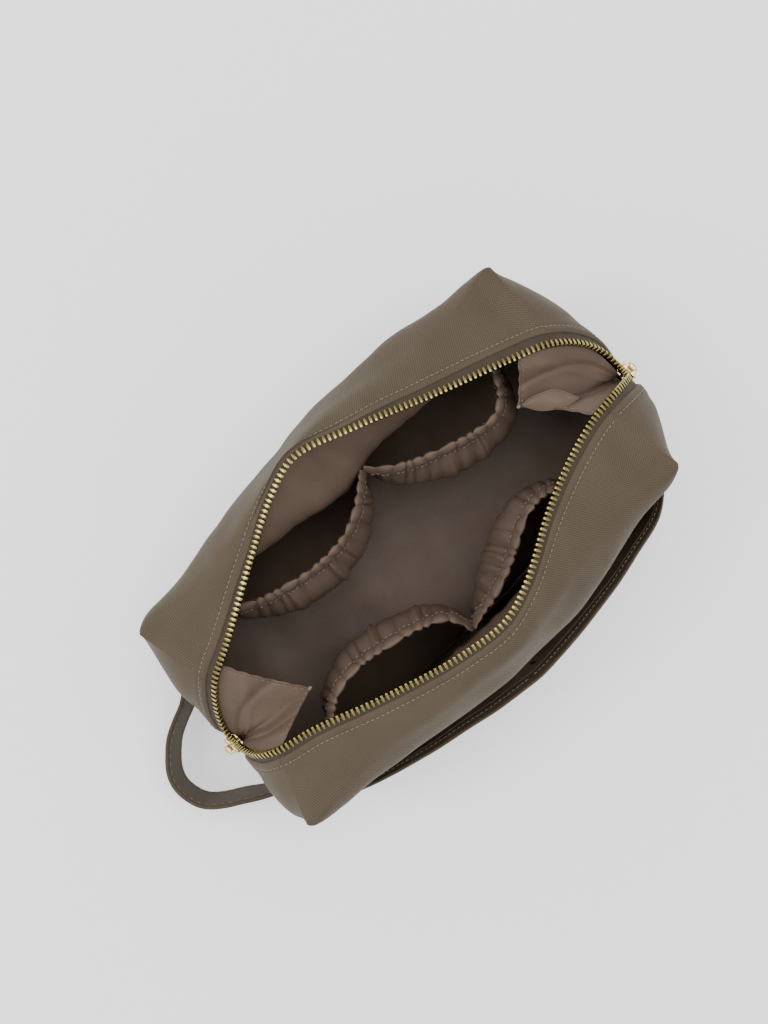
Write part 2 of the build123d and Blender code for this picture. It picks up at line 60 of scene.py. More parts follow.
class Socket:
    """A shader value that builds math nodes when it is added, multiplied and so on."""

    def __init__(self, shader, out):
        self.shader, self.out = shader, out

    def _math(self, kind, other=None, swap=False):
        first, second = (other, self) if swap else (self, other)
        inputs = [first] if second is None else [first, second]
        return self.shader.node("ShaderNodeMath", "Value", *inputs, operation=kind)

    def __add__(self, other): return self._math("ADD", other)
    def __radd__(self, other): return self._math("ADD", other)
    def __mul__(self, other): return self._math("MULTIPLY", other)
    def __rmul__(self, other): return self._math("MULTIPLY", other)
    def __sub__(self, other): return self._math("SUBTRACT", other)
    def __rsub__(self, other): return self._math("SUBTRACT", other, True)
    def __pow__(self, other): return self._math("POWER", other)
    def sine(self): return self._math("SINE")
    def fraction(self): return self._math("FRACT")
    def above(self, limit): return self._math("GREATER_THAN", limit)


class Shader:
    """A material's node tree with one method that adds any node."""

    def __init__(self, name):
        self.material = bpy.data.materials.new(name)
        self.material.use_nodes = True
        self.tree = self.material.node_tree
        self.surface = next(n for n in self.tree.nodes if n.type == "BSDF_PRINCIPLED")

    def node(self, kind, out, *values, **settings):
        node = self.tree.nodes.new(kind)
        for key, value in settings.items():
            setattr(node, key, value)
        for socket, value in zip(node.inputs, values):
            self.join(value, socket)
        return Socket(self, node.outputs[out])

    def join(self, value, socket):
        if isinstance(value, Socket):
            self.tree.links.new(value.out, socket)
        elif value is not None:
            socket.default_value = value

    def set(self, **values):
        for key, value in values.items():
            self.join(value, self.surface.inputs[key.replace("_", " ")])

    def noise(self, place, scale, detail=3.0):
        node = self.node("ShaderNodeTexNoise", "Fac")
        self.join(place, node.out.node.inputs["Vector"])
        node.out.node.inputs["Scale"].default_value = scale
        node.out.node.inputs["Detail"].default_value = detail
        return node

    def mix(self, share, dark, light):
        node = self.tree.nodes.new("ShaderNodeMix")
        node.data_type = "RGBA"
        self.join(share, node.inputs[0])
        self.join(dark, node.inputs[6])
        self.join(light, node.inputs[7])
        return Socket(self, node.outputs[2])

    def bump(self, height, strength, distance):
        node = self.tree.nodes.new("ShaderNodeBump")
        node.inputs["Strength"].default_value = strength
        node.inputs["Distance"].default_value = distance
        self.join(height, node.inputs["Height"])
        self.join(Socket(self, node.outputs["Normal"]), self.surface.inputs["Normal"])

    def along(self, name="UVMap"):
        """Distance along and across the cloth, in metres."""
        uv = self.node("ShaderNodeUVMap", "UV", uv_map=name)
        parts = self.tree.nodes.new("ShaderNodeSeparateXYZ")
        self.join(uv, parts.inputs[0])
        return uv, Socket(self, parts.outputs[0]), Socket(self, parts.outputs[1])

    def object_place(self):
        return self.node("ShaderNodeTexCoord", "Object")


floor_paint = Shader("floor_paper")
grain = floor_paint.noise(floor_paint.object_place(), 60.0)
floor_paint.set(Base_Color=floor_paint.mix(grain, (0.89, 0.89, 0.892, 1), (0.905, 0.905, 0.907, 1)),
                Roughness=0.9)
floor_paint.surface.inputs["Specular IOR Level"].default_value = 0.1
floor_paint.set(Emission_Color=(1, 1, 1, 1), Emission_Strength=0.55)
bm = bmesh.new()
bmesh.ops.create_grid(bm, x_segments=2, y_segments=2, size=4.0)
mesh = bpy.data.meshes.new("floor")
bm.to_mesh(mesh)
bm.free()
floor = bpy.data.objects.new("floor", mesh)
bpy.context.collection.objects.link(floor)
floor.data.materials.append(floor_paint.material)

world = bpy.data.worlds.new("room")
bpy.context.scene.world = world
world.use_nodes = True
world.node_tree.nodes["Background"].inputs[0].default_value = (1.0, 1.0, 1.0, 1)
world.node_tree.nodes["Background"].inputs[1].default_value = 0.98


def softbox(name, place, size, power, colour=(1, 1, 1)):
    light = bpy.data.lights.new(name, "AREA")
    light.shape, light.size, light.energy, light.color = "DISK", size, power, colour
    lamp = bpy.data.objects.new(name, light)
    lamp.location = place
    lamp.rotation_euler = (-Vector(place)).to_track_quat("-Z", "Y").to_euler()
    bpy.context.collection.objects.link(lamp)


softbox("window", (-1.0, 0.75, 1.4), 0.9, 13.0)
softbox("overhead", (0.5, 0.0, 2.1), 1.6, 24.0)

camera = bpy.data.cameras.new("camera")
camera.lens, camera.sensor_width, camera.clip_end = 81.46, 36.0, 20.0
eye = bpy.data.objects.new("camera", camera)
eye.location = (0.0049, 0.0186, 1.2)
eye.rotation_euler = (0.0, 0.0, math.radians(-44.5))
bpy.context.collection.objects.link(eye)
bpy.context.scene.camera = eye

# ---------------------------------------------------------------------------------------
# Outer back panel: fine taupe twill. It rises from the base seam, bellies out, rolls over
# the shoulder and ends in a folded, topstitched edge along the zip tape.
# ---------------------------------------------------------------------------------------
LEFT_TAIL, RIGHT_TAIL = (-125.5, -11.0), (136.0, -16.0)
TAIL_FOOT, TAIL_TOP, ROW_GAP = 40.0, 72.0, 0.7
FOLD_UP = 0.8
MOUTH = {
    1: ((-124.8, -7.2, 78.5), (-122.8, -1.5, 83.5), (-118.5, 6.0, 90.0), (-109.0, 16.0, 99.5),
        (-90.0, 26.0, 109.0), (-55.0, 45.5, 118.0), (-26.0, 60.0, 126.5), (-8.0, 65.0, 129.5),
        (22.0, 55.5, 129.0), (59.0, 41.0, 119.5), (95.0, 28.0, 111.5), (115.0, 20.0, 105.0),
        (127.0, 10.5, 95.5), (133.5, 0.5, 86.5), (135.6, -10.5, 79.5)),
    -1: ((-124.8, -13.6, 78.5), (-123.0, -17.2, 85.5), (-119.0, -21.3, 94.0),
         (-109.0, -26.0, 104.0), (-90.0, -30.5, 111.0), (-57.0, -42.0, 118.0),
         (-15.0, -53.5, 126.0), (10.0, -56.0, 128.0), (27.0, -51.0, 127.0), (60.0, -34.0, 120.0),
         (82.0, -25.0, 114.0), (104.0, -19.0, 108.0), (122.0, -17.2, 98.5), (131.0, -16.9, 87.5),
         (135.0, -16.8, 79.0)),
}


def through(keys, rows, at):
    """Smooth values at given keys, through the rows set at their own keys."""
    keys, rows, at = np.asarray(keys, float), np.asarray(rows, float), np.asarray(at, float)
    slope = np.gradient(rows, keys, axis=0)
    i = np.clip(np.searchsorted(keys, at, side="right") - 1, 0, len(keys) - 2)
    gap = keys[i + 1] - keys[i]
    s = ((at - keys[i]) / gap).reshape([-1] + [1] * (rows.ndim - 1))
    gap = gap.reshape(s.shape)
    return ((2 * s**3 - 3 * s**2 + 1) * rows[i] + (s**3 - 2 * s**2 + s) * gap * slope[i]
            + (3 * s**2 - 2 * s**3) * rows[i + 1] + (s**3 - s**2) * gap * slope[i + 1])


def line(points, count):
    """Evenly spaced points on a smooth line through a few."""
    points = np.asarray(points, float)
    keys = np.concatenate([[0], np.cumsum(np.linalg.norm(np.diff(points, axis=0), axis=1) ** 0.7)])
    fine = through(keys, points, np.linspace(0, keys[-1], 3000))
    run = np.concatenate([[0], np.cumsum(np.linalg.norm(np.diff(fine, axis=0), axis=1))])
    even = np.linspace(0, run[-1], count)
    return np.stack([np.interp(even, run, fine[:, k]) for k in range(3)], axis=1)


def unit(vectors):
    return vectors / np.maximum(np.linalg.norm(vectors, axis=-1, keepdims=True), 1e-9)


ZIP_POINTS = 1400
ZIP = {}
for side, mouth in MOUTH.items():
    tails = [[(t[0], t[1] + side * ROW_GAP, z) for z in (TAIL_FOOT, 51.0, 62.0, TAIL_TOP)]
             for t in (LEFT_TAIL, RIGHT_TAIL)]
    spot = line(tails[0] + list(mouth) + tails[1][::-1], ZIP_POINTS)
    ahead = unit(np.gradient(spot, axis=0))
    across = np.array([0.0, side, 0.0]) - ahead * (ahead[:, 1:2] * side)
    across = unit(across)
    ZIP[side] = {"spot": spot, "ahead": ahead, "across": across,
                 "up": unit(np.cross(ahead, across)) * side}


def zip_at(side, share):
    """Place, direction, outward and upward at shares of one zip row."""
    at = np.asarray(share) * (ZIP_POINTS - 1)
    keys = np.arange(ZIP_POINTS)
    return [np.stack([np.interp(at, keys, ZIP[side][part][:, k]) for k in range(3)], axis=-1)
            for part in ("spot", "ahead", "across", "up")]


def share_at_x(side, x):
    """Share of a zip row where it passes this x on the top of the bag."""
    top = np.where(ZIP[side]["spot"][:, 2] > 92.0)[0]
    return top[np.argmin(abs(ZIP[side]["spot"][top, 0] - x))] / (ZIP_POINTS - 1)


def fold_out(side, spot):
    """How far the folded cloth edge lies from the teeth: the tape shows least mid-side."""
    places, widths = {
        1: ((-125, -104, -75, -51, -6, 14, 23, 42, 60, 95), (7.0, 6.2, 4.8, 3.8, 3.2, 3.2, 3.9, 5.4, 6.2, 7.1)),
        -1: ((-125, -107, -57, -5, 27, 60, 90, 116, 131), (6.8, 5.2, 4.6, 4.2, 4.4, 5.0, 5.6, 5.8, 7.0))}[side]
    return np.interp(spot[..., 0], places, widths)[..., None]


TURN = {(1, -1): share_at_x(1, -109.0), (1, 1): share_at_x(1, 117.0),
        (-1, -1): share_at_x(-1, -111.0), (-1, 1): share_at_x(-1, 114.0)}

# stations along each long wall: foot, belly, shoulder, how sharp the shoulder is
WALL = {
    1: (((-116, 52, 1.2), (-120, 56.5, 78), (-118.5, 58, 102), 1.0),
        ((-90, 59, 1.2), (-91, 62.5, 80), (-91, 57.5, 107), 0.45),
        ((-60, 59.5, 1.2), (-60, 68.5, 84), (-60, 62, 110.5), 0.1),
        ((-30, 59.5, 1.2), (-30, 74, 88), (-30, 69.5, 114), 0.0),
        ((0, 59.5, 1.2), (0, 76, 90), (0, 73, 117), 0.0),
        ((30, 59.5, 1.2), (30, 76, 90), (30, 70.5, 115.5), 0.0),
        ((60, 59.5, 1.2), (60, 75, 88), (60, 66.5, 111.5), 0.1),
        ((91, 59, 1.2), (91, 70.5, 84), (92, 63.5, 108), 0.45),
        ((118, 52, 1.2), (121.5, 62, 78), (122, 66, 103), 1.0)),
    -1: (((-116, -52, 1.2), (-124, -59, 78), (-125, -61.5, 102), 1.0),
         ((-90, -59, 1.2), (-93, -66, 82), (-94, -61, 107), 0.45),
         ((-60, -59.5, 1.2), (-60, -73, 85), (-61, -66, 111), 0.1),
         ((-30, -59.5, 1.2), (-30, -78, 86), (-30, -71, 115), 0.0),
         ((0, -59.5, 1.2), (0, -80.5, 87), (0, -74, 117.5), 0.0),
         ((30, -59.5, 1.2), (30, -79.5, 87), (30, -71, 116.5), 0.0),
         ((60, -59.5, 1.2), (60, -75.5, 85), (60, -65, 112), 0.1),
         ((90, -59, 1.2), (90, -69, 82), (91, -61, 107), 0.45),
         ((118, -52, 1.2), (120, -58, 78), (120.5, -62.5, 102.5), 1.0)),
}
SHOULDER = 0.70
PROFILE_KEYS = (0.0, 0.24, 0.48, 0.66, SHOULDER, 0.74, 1.0)


def wall_profiles(side, u, edge):
    """Seven guide points of the wall's section at each u, from the base to the zip."""
    stations = WALL[side]
    keys = np.linspace(-1, 1, len(stations))
    foot, belly, shoulder = [through(keys, [s[k] for s in stations], u) for k in range(3)]
    sharp = np.clip(through(keys, [[s[3]] for s in stations], u), 0, 1)
    low = 0.48 * foot + 0.52 * belly
    low[:, 2] = 36.0
    round_way = unit(edge - belly)
    before = shoulder - (sharp * unit(shoulder - belly) * 3.0 + (1 - sharp) * round_way * 8.0)
    after = shoulder + (sharp * unit(edge - shoulder) * 3.0 + (1 - sharp) * round_way * 4.0)
    return np.stack([foot, low, belly, before, shoulder, after, edge])


def ripple(x, y, seed, size):
    """Gentle fixed unevenness, about one unit high."""
    total = np.zeros_like(x)
    for k in range(6):
        turn = math.sin(seed * 12.9 + k * 4.7) * 3.14
        wave = size / (0.75 + 0.35 * k)
        total += np.sin((x * math.cos(turn) + y * math.sin(turn)) / wave * 6.283 + seed * 7 + k * 2.1) / (1 + 0.6 * k)
    return total / 2.2


def run_along(points, axis):
    step = np.linalg.norm(np.diff(points, axis=axis), axis=2)
    start = np.zeros_like(np.take(step, [0], axis=axis))
    return np.cumsum(np.concatenate([start, step], axis=axis), axis=axis)


def grid_normals(points):
    return unit(np.cross(np.gradient(points, axis=1), np.gradient(points, axis=0)))


def cloth(name, points, thick, paint, body, replaces=(), flip=False, blend=None, level=0):
    """Cloth through a grid of points (rows up, columns along, mm) with its own thickness."""
    points = np.asarray(points, float)
    rows, columns = points.shape[:2]
    u_run, v_run = run_along(points, 1).mean(axis=0), run_along(points, 0).mean(axis=1)
    bm = bmesh.new()
    bmesh.ops.create_grid(bm, x_segments=columns - 1, y_segments=rows - 1, size=0.5)
    uv = bm.loops.layers.uv.new("UVMap")
    index = {}
    for vert in bm.verts:
        c, r = round((vert.co.x + 0.5) * (columns - 1)), round((vert.co.y + 0.5) * (rows - 1))
        index[vert] = (r, c)
    for vert, (r, c) in index.items():
        vert.co = Vector(points[r, c]) * MM
    for face in bm.faces:
        for loop in face.loops:
            r, c = index[loop.vert]
            loop[uv].uv = (u_run[c] * MM, v_run[r] * MM)
    if flip:
        bmesh.ops.reverse_faces(bm, faces=bm.faces)
    return finish_piece(name, bm, paint, body, replaces, thick, blend, level)


def finish_piece(name, bm, paint, body, replaces=(), thick=0.0, blend=None, level=0, angle=50):
    mesh = bpy.data.meshes.new(name)
    bm.to_mesh(mesh)
    bm.free()
    piece = bpy.data.objects.new(name, mesh)
    bpy.context.collection.objects.link(piece)
    if thick:
        skin = piece.modifiers.new("thickness", "SOLIDIFY")
        skin.thickness, skin.offset, skin.use_even_offset = thick * MM, -1.0, False
    if level:
        finer = piece.modifiers.new("smooth", "SUBSURF")
        finer.levels = finer.render_levels = level
    if piece.modifiers:
        bpy.context.view_layer.update()
        made = bpy.data.meshes.new_from_object(
            piece.evaluated_get(bpy.context.evaluated_depsgraph_get()))
        piece.modifiers.clear()
        piece.data = made
    piece.data.name = name
    for polygon in piece.data.polygons:
        polygon.use_smooth = True
    piece.data.set_sharp_from_angle(angle=math.radians(angle))
    piece.data.materials.clear()
    piece.data.materials.append(paint.material)
    if blend:
        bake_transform(piece)
    else:
        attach(piece, body)
    if replaces:
        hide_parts(*replaces)
    return piece


def twill(name, dark, light, pitch, sheen, rough):
    """Fine diagonal weave with a slight shine, mottled a little by handling."""
    paint = Shader(name)
    uv, u, v = paint.along()
    rib = ((u + v * 0.62) * (6.2832 / pitch)).sine() * 0.5 + 0.5
    thread = ((v - u * 0.3) * (6.2832 / (pitch * 0.6))).sine() * 0.5 + 0.5
    cloud = paint.noise(uv, 38.0, 4.0)
    fuzz = paint.noise(uv, 1400.0, 2.0)
    share = rib * 0.36 + thread * 0.3 + cloud * 0.34 + fuzz * 0.2 - 0.10
    paint.set(Base_Color=paint.mix(share, dark, light),
              Roughness=rib * 0.1 + cloud * 0.12 + (rough - 0.1))
    paint.surface.inputs["Sheen Weight"].default_value = sheen
    paint.surface.inputs["Sheen Roughness"].default_value = 0.4
    paint.surface.inputs["Sheen Tint"].default_value = (0.9, 0.86, 0.78, 1)
    paint.surface.inputs["Specular IOR Level"].default_value = 0.14
    slack = paint.noise(uv, 26.0, 2.0)
    paint.bump(rib * 0.7 + thread * 0.5 + fuzz * 0.4 + slack * 7.0, 0.6, 0.0002)
    return paint


OUTER = twill("outer_twill", (0.036, 0.026, 0.017, 1), (0.132, 0.101, 0.067, 1), 0.00115, 0.04, 0.58)


CORNER_FULLNESS = {(1, -1): (6.5, 1.2), (1, 1): (7.0, 1.4), (-1, -1): (9.0, 7.5), (-1, 1): (8.0, 1.0)}


def puffed_corner(points, away, lip_run, roof_share, fullness, side, end):
    """Puff the cloth out on both sides of a corner seam, so the corner is a blunt nose."""
    height = np.clip((points[..., 2] - 26.0) / 62.0, 0, 1)
    roof = np.clip((lip_run - 3.0) / 26.0, 0, 1)
    amount = fullness * height**1.3 * roof**0.7 * (1 - 0.8 * roof_share)
    level = roof_share[..., None]
    way = unit(np.array((end * 0.70, side * 0.70, 0.15)) * (1 - level)
               + np.array((end * 0.42, side * 0.30, 0.85)) * level)
    return points + way * (amount * (np.exp(-(away / 25.0) ** 2) - np.exp(-away / 7.5)))[..., None]


def wall_rows(side, columns=240):
    """Grid of the long wall from the base seam to the fold beside the zip, with the fold."""
    u = np.linspace(-1, 1, columns)
    share = TURN[side, -1] + (u + 1) / 2 * (TURN[side, 1] - TURN[side, -1])
    spot, _, across, up = zip_at(side, share)
    edge = spot + across * fold_out(side, spot) + up * FOLD_UP
    guide = wall_profiles(side, u, edge)
    v = np.concatenate([np.linspace(0, 0.62, 22), np.linspace(0.62, 0.78, 15)[1:],
                        np.linspace(0.78, 1.0, 26)[1:]])
    rows = through(PROFILE_KEYS, guide, v)
    out = grid_normals(rows) * (-side)
    back = run_along(rows[::-1], 0)[::-1]
    on_roof = np.repeat(np.clip((v - SHOULDER + 0.02) / 0.08, 0, 1)[:, None], columns, axis=1)
    for end, column in ((-1, 0), (1, -1)):
        away = np.linalg.norm(rows - rows[:, column][:, None], axis=-1)
        rows = puffed_corner(rows, away, back, on_roof, CORNER_FULLNESS[side, end][0], side, end)
    steady = np.clip((1 - abs(u)) / 0.10, 0, 1)[None, :] * np.clip(back / 8.0, 0, 1)
    steady *= np.clip(v / 0.1, 0, 1)[:, None]
    x, y = rows[..., 0], rows[..., 2] * 1.2
    dent = ripple(x, y, 1.3 + side, 95.0) * 1.5 + ripple(x, y, 4.1 + side, 38.0) * 0.5
    near_end = np.exp(-((1 - abs(u)) / 0.17) ** 2)[None, :]
    crease = np.sin(back / 6.5 + u[None, :] * 9) * near_end * np.clip(back / 12, 0, 1) * 0.7
    seam = 0.30 * np.exp(-((back - 1.3) / 1.0) ** 2) - 0.30 * np.exp(-((back - 3.4) / 0.6) ** 2)
    pull = 0.16 * np.sin(np.cumsum(np.full(columns, 1.0)) * 1.9) * np.exp(-((back - 3.6) / 1.6) ** 2)
    rows = rows + out * ((dent * steady + crease * steady) + seam + pull * steady)[..., None]
    fold = []
    for turn in np.linspace(0.25, 1.0, 5) * math.pi:
        fold.append(rows[-1] - across * 0.75 * math.sin(turn) + up * 0.75 * (math.cos(turn) - 1))
    for step in (3, 6):
        fold.append(rows[-step] - out[-step] * 1.7)
    return np.concatenate([rows, np.stack(fold)]), len(v)


def seam_line(rows, edge_row, distance):
    """The line on a grid this far back from its edge row, with the surface's normal."""
    part = rows[:edge_row][::-1]
    run = run_along(part, 0)
    normals = grid_normals(rows)[:edge_row][::-1]
    spots, ups = [], []
    for c in range(rows.shape[1]):
        spots.append([np.interp(distance, run[:, c], part[:, c, k]) for k in range(3)])
        ups.append([np.interp(distance, run[:, c], normals[:, c, k]) for k in range(3)])
    return np.array(spots), unit(np.array(ups))


def stitch_run(name, spots, ups, paint, body, pitch=2.7, length=2.0, width=0.55, sink=0.05,
               blend=None, slant=0.1):
    """A row of thread stitches along a line, each one dipping into the cloth at both ends."""
    run = np.concatenate([[0], np.cumsum(np.linalg.norm(np.diff(spots, axis=0), axis=1))])
    bm = bmesh.new()
    place = pitch * 0.6
    while place + length < run[-1]:
        at = [np.array([np.interp(place + k * length, run, table[:, i]) for i in range(3)])
              for table in (spots, ups) for k in (0.0, 0.5, 1.0)]
        a, m, b, up = at[0], at[1], at[2], unit(at[4])
        ahead = unit(b - a)
        beside = np.cross(up, ahead)
        lean = beside * slant * (1 if int(place / pitch) % 2 else -1)
        rings = []
        for s, high, wide in ((0.0, -0.35, 0.45), (0.18, 0.02, 0.9), (0.5, 0.16, 1.0),
                              (0.82, 0.02, 0.9), (1.0, -0.35, 0.45)):
            middle = a + (b - a) * s + (m - (a + b) / 2) * (4 * s * (1 - s)) + lean * (s - 0.5) * 2
            ring = []
            for k in range(6):
                turn = k / 6 * 6.2832
                ring.append(bm.verts.new(Vector(
                    middle + (beside * math.cos(turn) + up * math.sin(turn)) * wide * width / 2
                    + up * (high - sink + width / 4)) * MM))
            rings.append(ring)
        for first, second in zip(rings, rings[1:]):
            for k in range(6):
                bm.faces.new((first[k], first[(k + 1) % 6], second[(k + 1) % 6], second[k]))
        bm.faces.new(rings[0][::-1])
        bm.faces.new(rings[-1])
        place += pitch
    bmesh.ops.recalc_face_normals(bm, faces=bm.faces)
    return finish_piece(name, bm, paint, body, blend=blend, angle=80)


def thread_paint(name, dark, light):
    paint = Shader(name)
    place = paint.object_place()
    twist = paint.noise(place, 900.0, 2.0)
    paint.set(Base_Color=paint.mix(twist, dark, light), Roughness=twist * 0.2 + 0.35)
    paint.surface.inputs["Sheen Weight"].default_value = 0.1
    paint.bump(twist, 0.3, 0.0002)
    return paint


THREAD = thread_paint("seam_thread", (0.10, 0.082, 0.045, 1), (0.25, 0.215, 0.13, 1))

back_rows, back_edge = wall_rows(1)
cloth("outer_back_cloth", back_rows, 0.7, OUTER, "bag", ["outer_back_panel"], flip=True)
spots, ups = seam_line(back_rows, back_edge, 3.4)
stitch_run("back_topstitch", spots, ups * np.sign(ups[:, 2:3]), THREAD, "bag")

# ---------------------------------------------------------------------------------------
# Outer front panel: the same twill, a little fuller, with the slip pocket sewn over it.
# ---------------------------------------------------------------------------------------
front_rows, front_edge = wall_rows(-1)
cloth("outer_front_cloth", front_rows, 0.7, OUTER, "bag", ["outer_front_panel"], flip=False)
spots, ups = seam_line(front_rows, front_edge, 3.4)
stitch_run("front_topstitch", spots, ups * np.sign(ups[:, 2:3]), THREAD, "bag")

# ---------------------------------------------------------------------------------------
# Outer end panels: each one closes an end between the two pointed upper corners, and is
# split down its middle for the zip, whose folded edges spread apart towards the top.
# ---------------------------------------------------------------------------------------
SEAM = {-1: ((-120.0, 1.2), (-123.6, 14.0), (-125.0, 26.0), (-125.4, 33.0)),
        1: ((121.0, 1.2), (128.5, 14.0), (133.0, 26.0), (135.0, 33.0))}


def even(points, count):
    """The same broken line with evenly spaced points."""
    run = np.concatenate([[0], np.cumsum(np.linalg.norm(np.diff(points, axis=0), axis=1))])
    at = np.linspace(0, run[-1], count)
    return np.stack([np.interp(at, run, points[:, k]) for k in range(3)], axis=1)


def patch(left, right, foot, top):
    """Surface filling four edges: rows rise from foot to top, columns run left to right."""
    v = np.linspace(0, 1, len(left))[:, None, None]
    w = np.linspace(0, 1, len(top))[None, :, None]
    return ((1 - w) * left[:, None] + w * right[:, None] + (1 - v) * foot[None] + v * top[None]
            - (1 - v) * (1 - w) * left[0] - (1 - v) * w * right[0]
            - v * (1 - w) * left[-1] - v * w * right[-1])


def end_half(side, end, rows, edge_row):
    column = rows[:edge_row, 0 if end < 0 else -1]
    shoulder_row = 21 + 7
    corner, roof = even(column[:shoulder_row + 1], 54), even(column[shoulder_row:], 40)
    tail = LEFT_TAIL if end < 0 else RIGHT_TAIL
    low = np.array([(x - end * 0.25 * (side > 0), tail[1] - side * 0.5, z) for x, z in SEAM[end]])
    share = np.linspace(0.0 if end < 0 else 1.0, TURN[side, end], 60)
    spot, _, across, up = zip_at(side, share)
    lip = spot + across * fold_out(side, spot) + up * FOLD_UP
    middle = np.concatenate([low, lip])
    lean = np.concatenate([np.tile((0.0, side, 0.0), (len(low), 1)), across])
    rise = np.concatenate([np.tile((float(end), 0.0, 0.0), (len(low), 1)), up])
    inner = even(middle, 54)
    lean, rise = (unit(resample_like(middle, turned, 54)) for turned in (lean, rise))
    floor_line = np.linspace(corner[0], inner[0], 40)
    floor_line[:, 0] += end * np.sin(np.linspace(0, math.pi, 40)) * 2.0
    sheet = patch(corner, inner, floor_line, roof)
    v, w = np.linspace(0, 1, 54)[:, None], np.linspace(0, 1, 40)[None, :]
    fullness = 6.5 if end > 0 else 3.0
    swell = fullness * np.sin(np.pi * w) ** 0.8 * np.sin(np.pi * np.clip(v, 0, 1)) ** 0.7
    dent = ripple(sheet[..., 1], sheet[..., 2], 2.2 + side + end, 60.0) * 1.2
    steady = np.sin(np.pi * w) ** 0.6 * np.sin(np.pi * v) ** 0.5
    crease = np.exp(-((w - 0.55 - 0.3 * v) / 0.10) ** 2) * steady * np.clip(v - 0.35, 0, 1) * 3.5
    sheet[..., 0] += end * (swell + dent * steady - crease)
    back = run_along(sheet[:, ::-1], 1)[:, ::-1]
    from_side = np.linalg.norm(sheet - sheet[:, :1], axis=-1)
    from_roof = np.linalg.norm(sheet - sheet[-1:], axis=-1)
    away = (np.maximum(from_side, 0.01) ** -3.0 + np.maximum(from_roof, 0.01) ** -3.0) ** (-1 / 3)
    sheet = puffed_corner(sheet, away, back, np.exp(-(from_roof / 14.0) ** 2),
                          CORNER_FULLNESS[side, end][1], side, end)
    ridge = 0.30 * np.exp(-((back - 1.3) / 1.0) ** 2) - 0.3 * np.exp(-((back - 3.4) / 0.6) ** 2)
    sheet += (ridge * np.clip(v * 3 - 0.9, 0, 1))[..., None] * rise[:, None]
    fold = []
    for turn in np.linspace(0.25, 1.0, 5) * math.pi:
        fold.append(sheet[:, -1] - lean * 0.75 * math.sin(turn)
                    + rise * 0.75 * (math.cos(turn) - 1))
    for step in (3, 6):
        fold.append(sheet[:, -step] - rise * 1.7)
    return np.concatenate([sheet, np.stack(fold, axis=1)], axis=1), sheet.shape[1]


def resample_like(points, values, count):
    """Values carried along a broken line to the places that even() would give."""
    run = np.concatenate([[0], np.cumsum(np.linalg.norm(np.diff(points, axis=0), axis=1))])
    at = np.linspace(0, run[-1], count)
    return np.stack([np.interp(at, run, values[:, k]) for k in range(3)], axis=1)


for end, word in ((-1, "left"), (1, "right")):
    for side, rows, edge_row, part in ((1, back_rows, back_edge, "back"),
                                       (-1, front_rows, front_edge, "front")):
        half, lip_column = end_half(side, end, rows, edge_row)
        cloth(f"outer_{word}_end_{part}_half", half, 0.7, OUTER, "bag",
              [f"outer_{word}_end"] if side > 0 else [], flip=side * end > 0)
        turned = half.transpose(1, 0, 2)
        spots, ups = seam_line(turned, lip_column, 3.4)
        spots, ups = spots[20:], ups[20:]
        ups = ups * np.sign(ups[:, :1] * end + ups[:, 2:3] * 0.5)
        stitch_run(f"{word}_end_topstitch_{part}", spots, ups, THREAD, "bag")

# ---------------------------------------------------------------------------------------
# Outer base panel: one flat piece of the twill with rounded corners, sewn to all walls.
# ---------------------------------------------------------------------------------------
u = np.linspace(-1, 1, 90)
feet = {side: through(np.linspace(-1, 1, 9), [s[0] for s in WALL[side]], u) for side in (1, -1)}
w = np.linspace(0, 1, 40)[:, None, None]
base_sheet = (1 - w) * feet[-1][None] + w * feet[1][None]
base_sheet[..., 0] += (np.sign(u) * abs(u) ** 14 * 4.5)[None, :] * np.sin(np.pi * w[..., 0])
base_sheet[..., 2] = 0.75 + ripple(base_sheet[..., 0], base_sheet[..., 1], 5.0, 80.0) * 0.12
cloth("outer_base_cloth", base_sheet, 0.7, OUTER, "bag", ["outer_base_panel"])

# ---------------------------------------------------------------------------------------
# Lining: pinkish satin, hung from the zip tape and looser than the shell, so it is drawn
# in where the inner pockets pull on it and lies in soft folds on the base.
# ---------------------------------------------------------------------------------------


def satin(name, dark, light, rough=0.42):
    """Smooth lining cloth: a faint thread line, soft cloudy colour and a silky shine."""
    paint = Shader(name)
    uv, _, v = paint.along()
    thread = (v * (6.2832 / 0.0006)).sine() * 0.5 + 0.5
    cloud = paint.noise(uv, 55.0, 4.0)
    slub = paint.noise(uv, 700.0, 2.0)
    paint.set(Base_Color=paint.mix(cloud * 0.6 + thread * 0.15 + slub * 0.25, dark, light),
              Roughness=cloud * 0.14 + thread * 0.05 + (rough - 0.08))
    paint.surface.inputs["Specular IOR Level"].default_value = 0.16
    paint.bump(slub * 0.6 + thread * 0.4 + cloud * 1.5, 0.25, 0.00015)
    return paint


LINING = satin("lining_satin", (0.080, 0.053, 0.037, 1), (0.170, 0.122, 0.094, 1))
LINING_THREAD = thread_paint("lining_thread", (0.14, 0.10, 0.08, 1), (0.26, 0.20, 0.17, 1))
LINING_REACH = {1: (44, 46, 45.5, 43.5, 42, 42, 41, 42, 46),
                -1: (-45, -47, -51, -54, -55, -52, -46, -43, -44)}


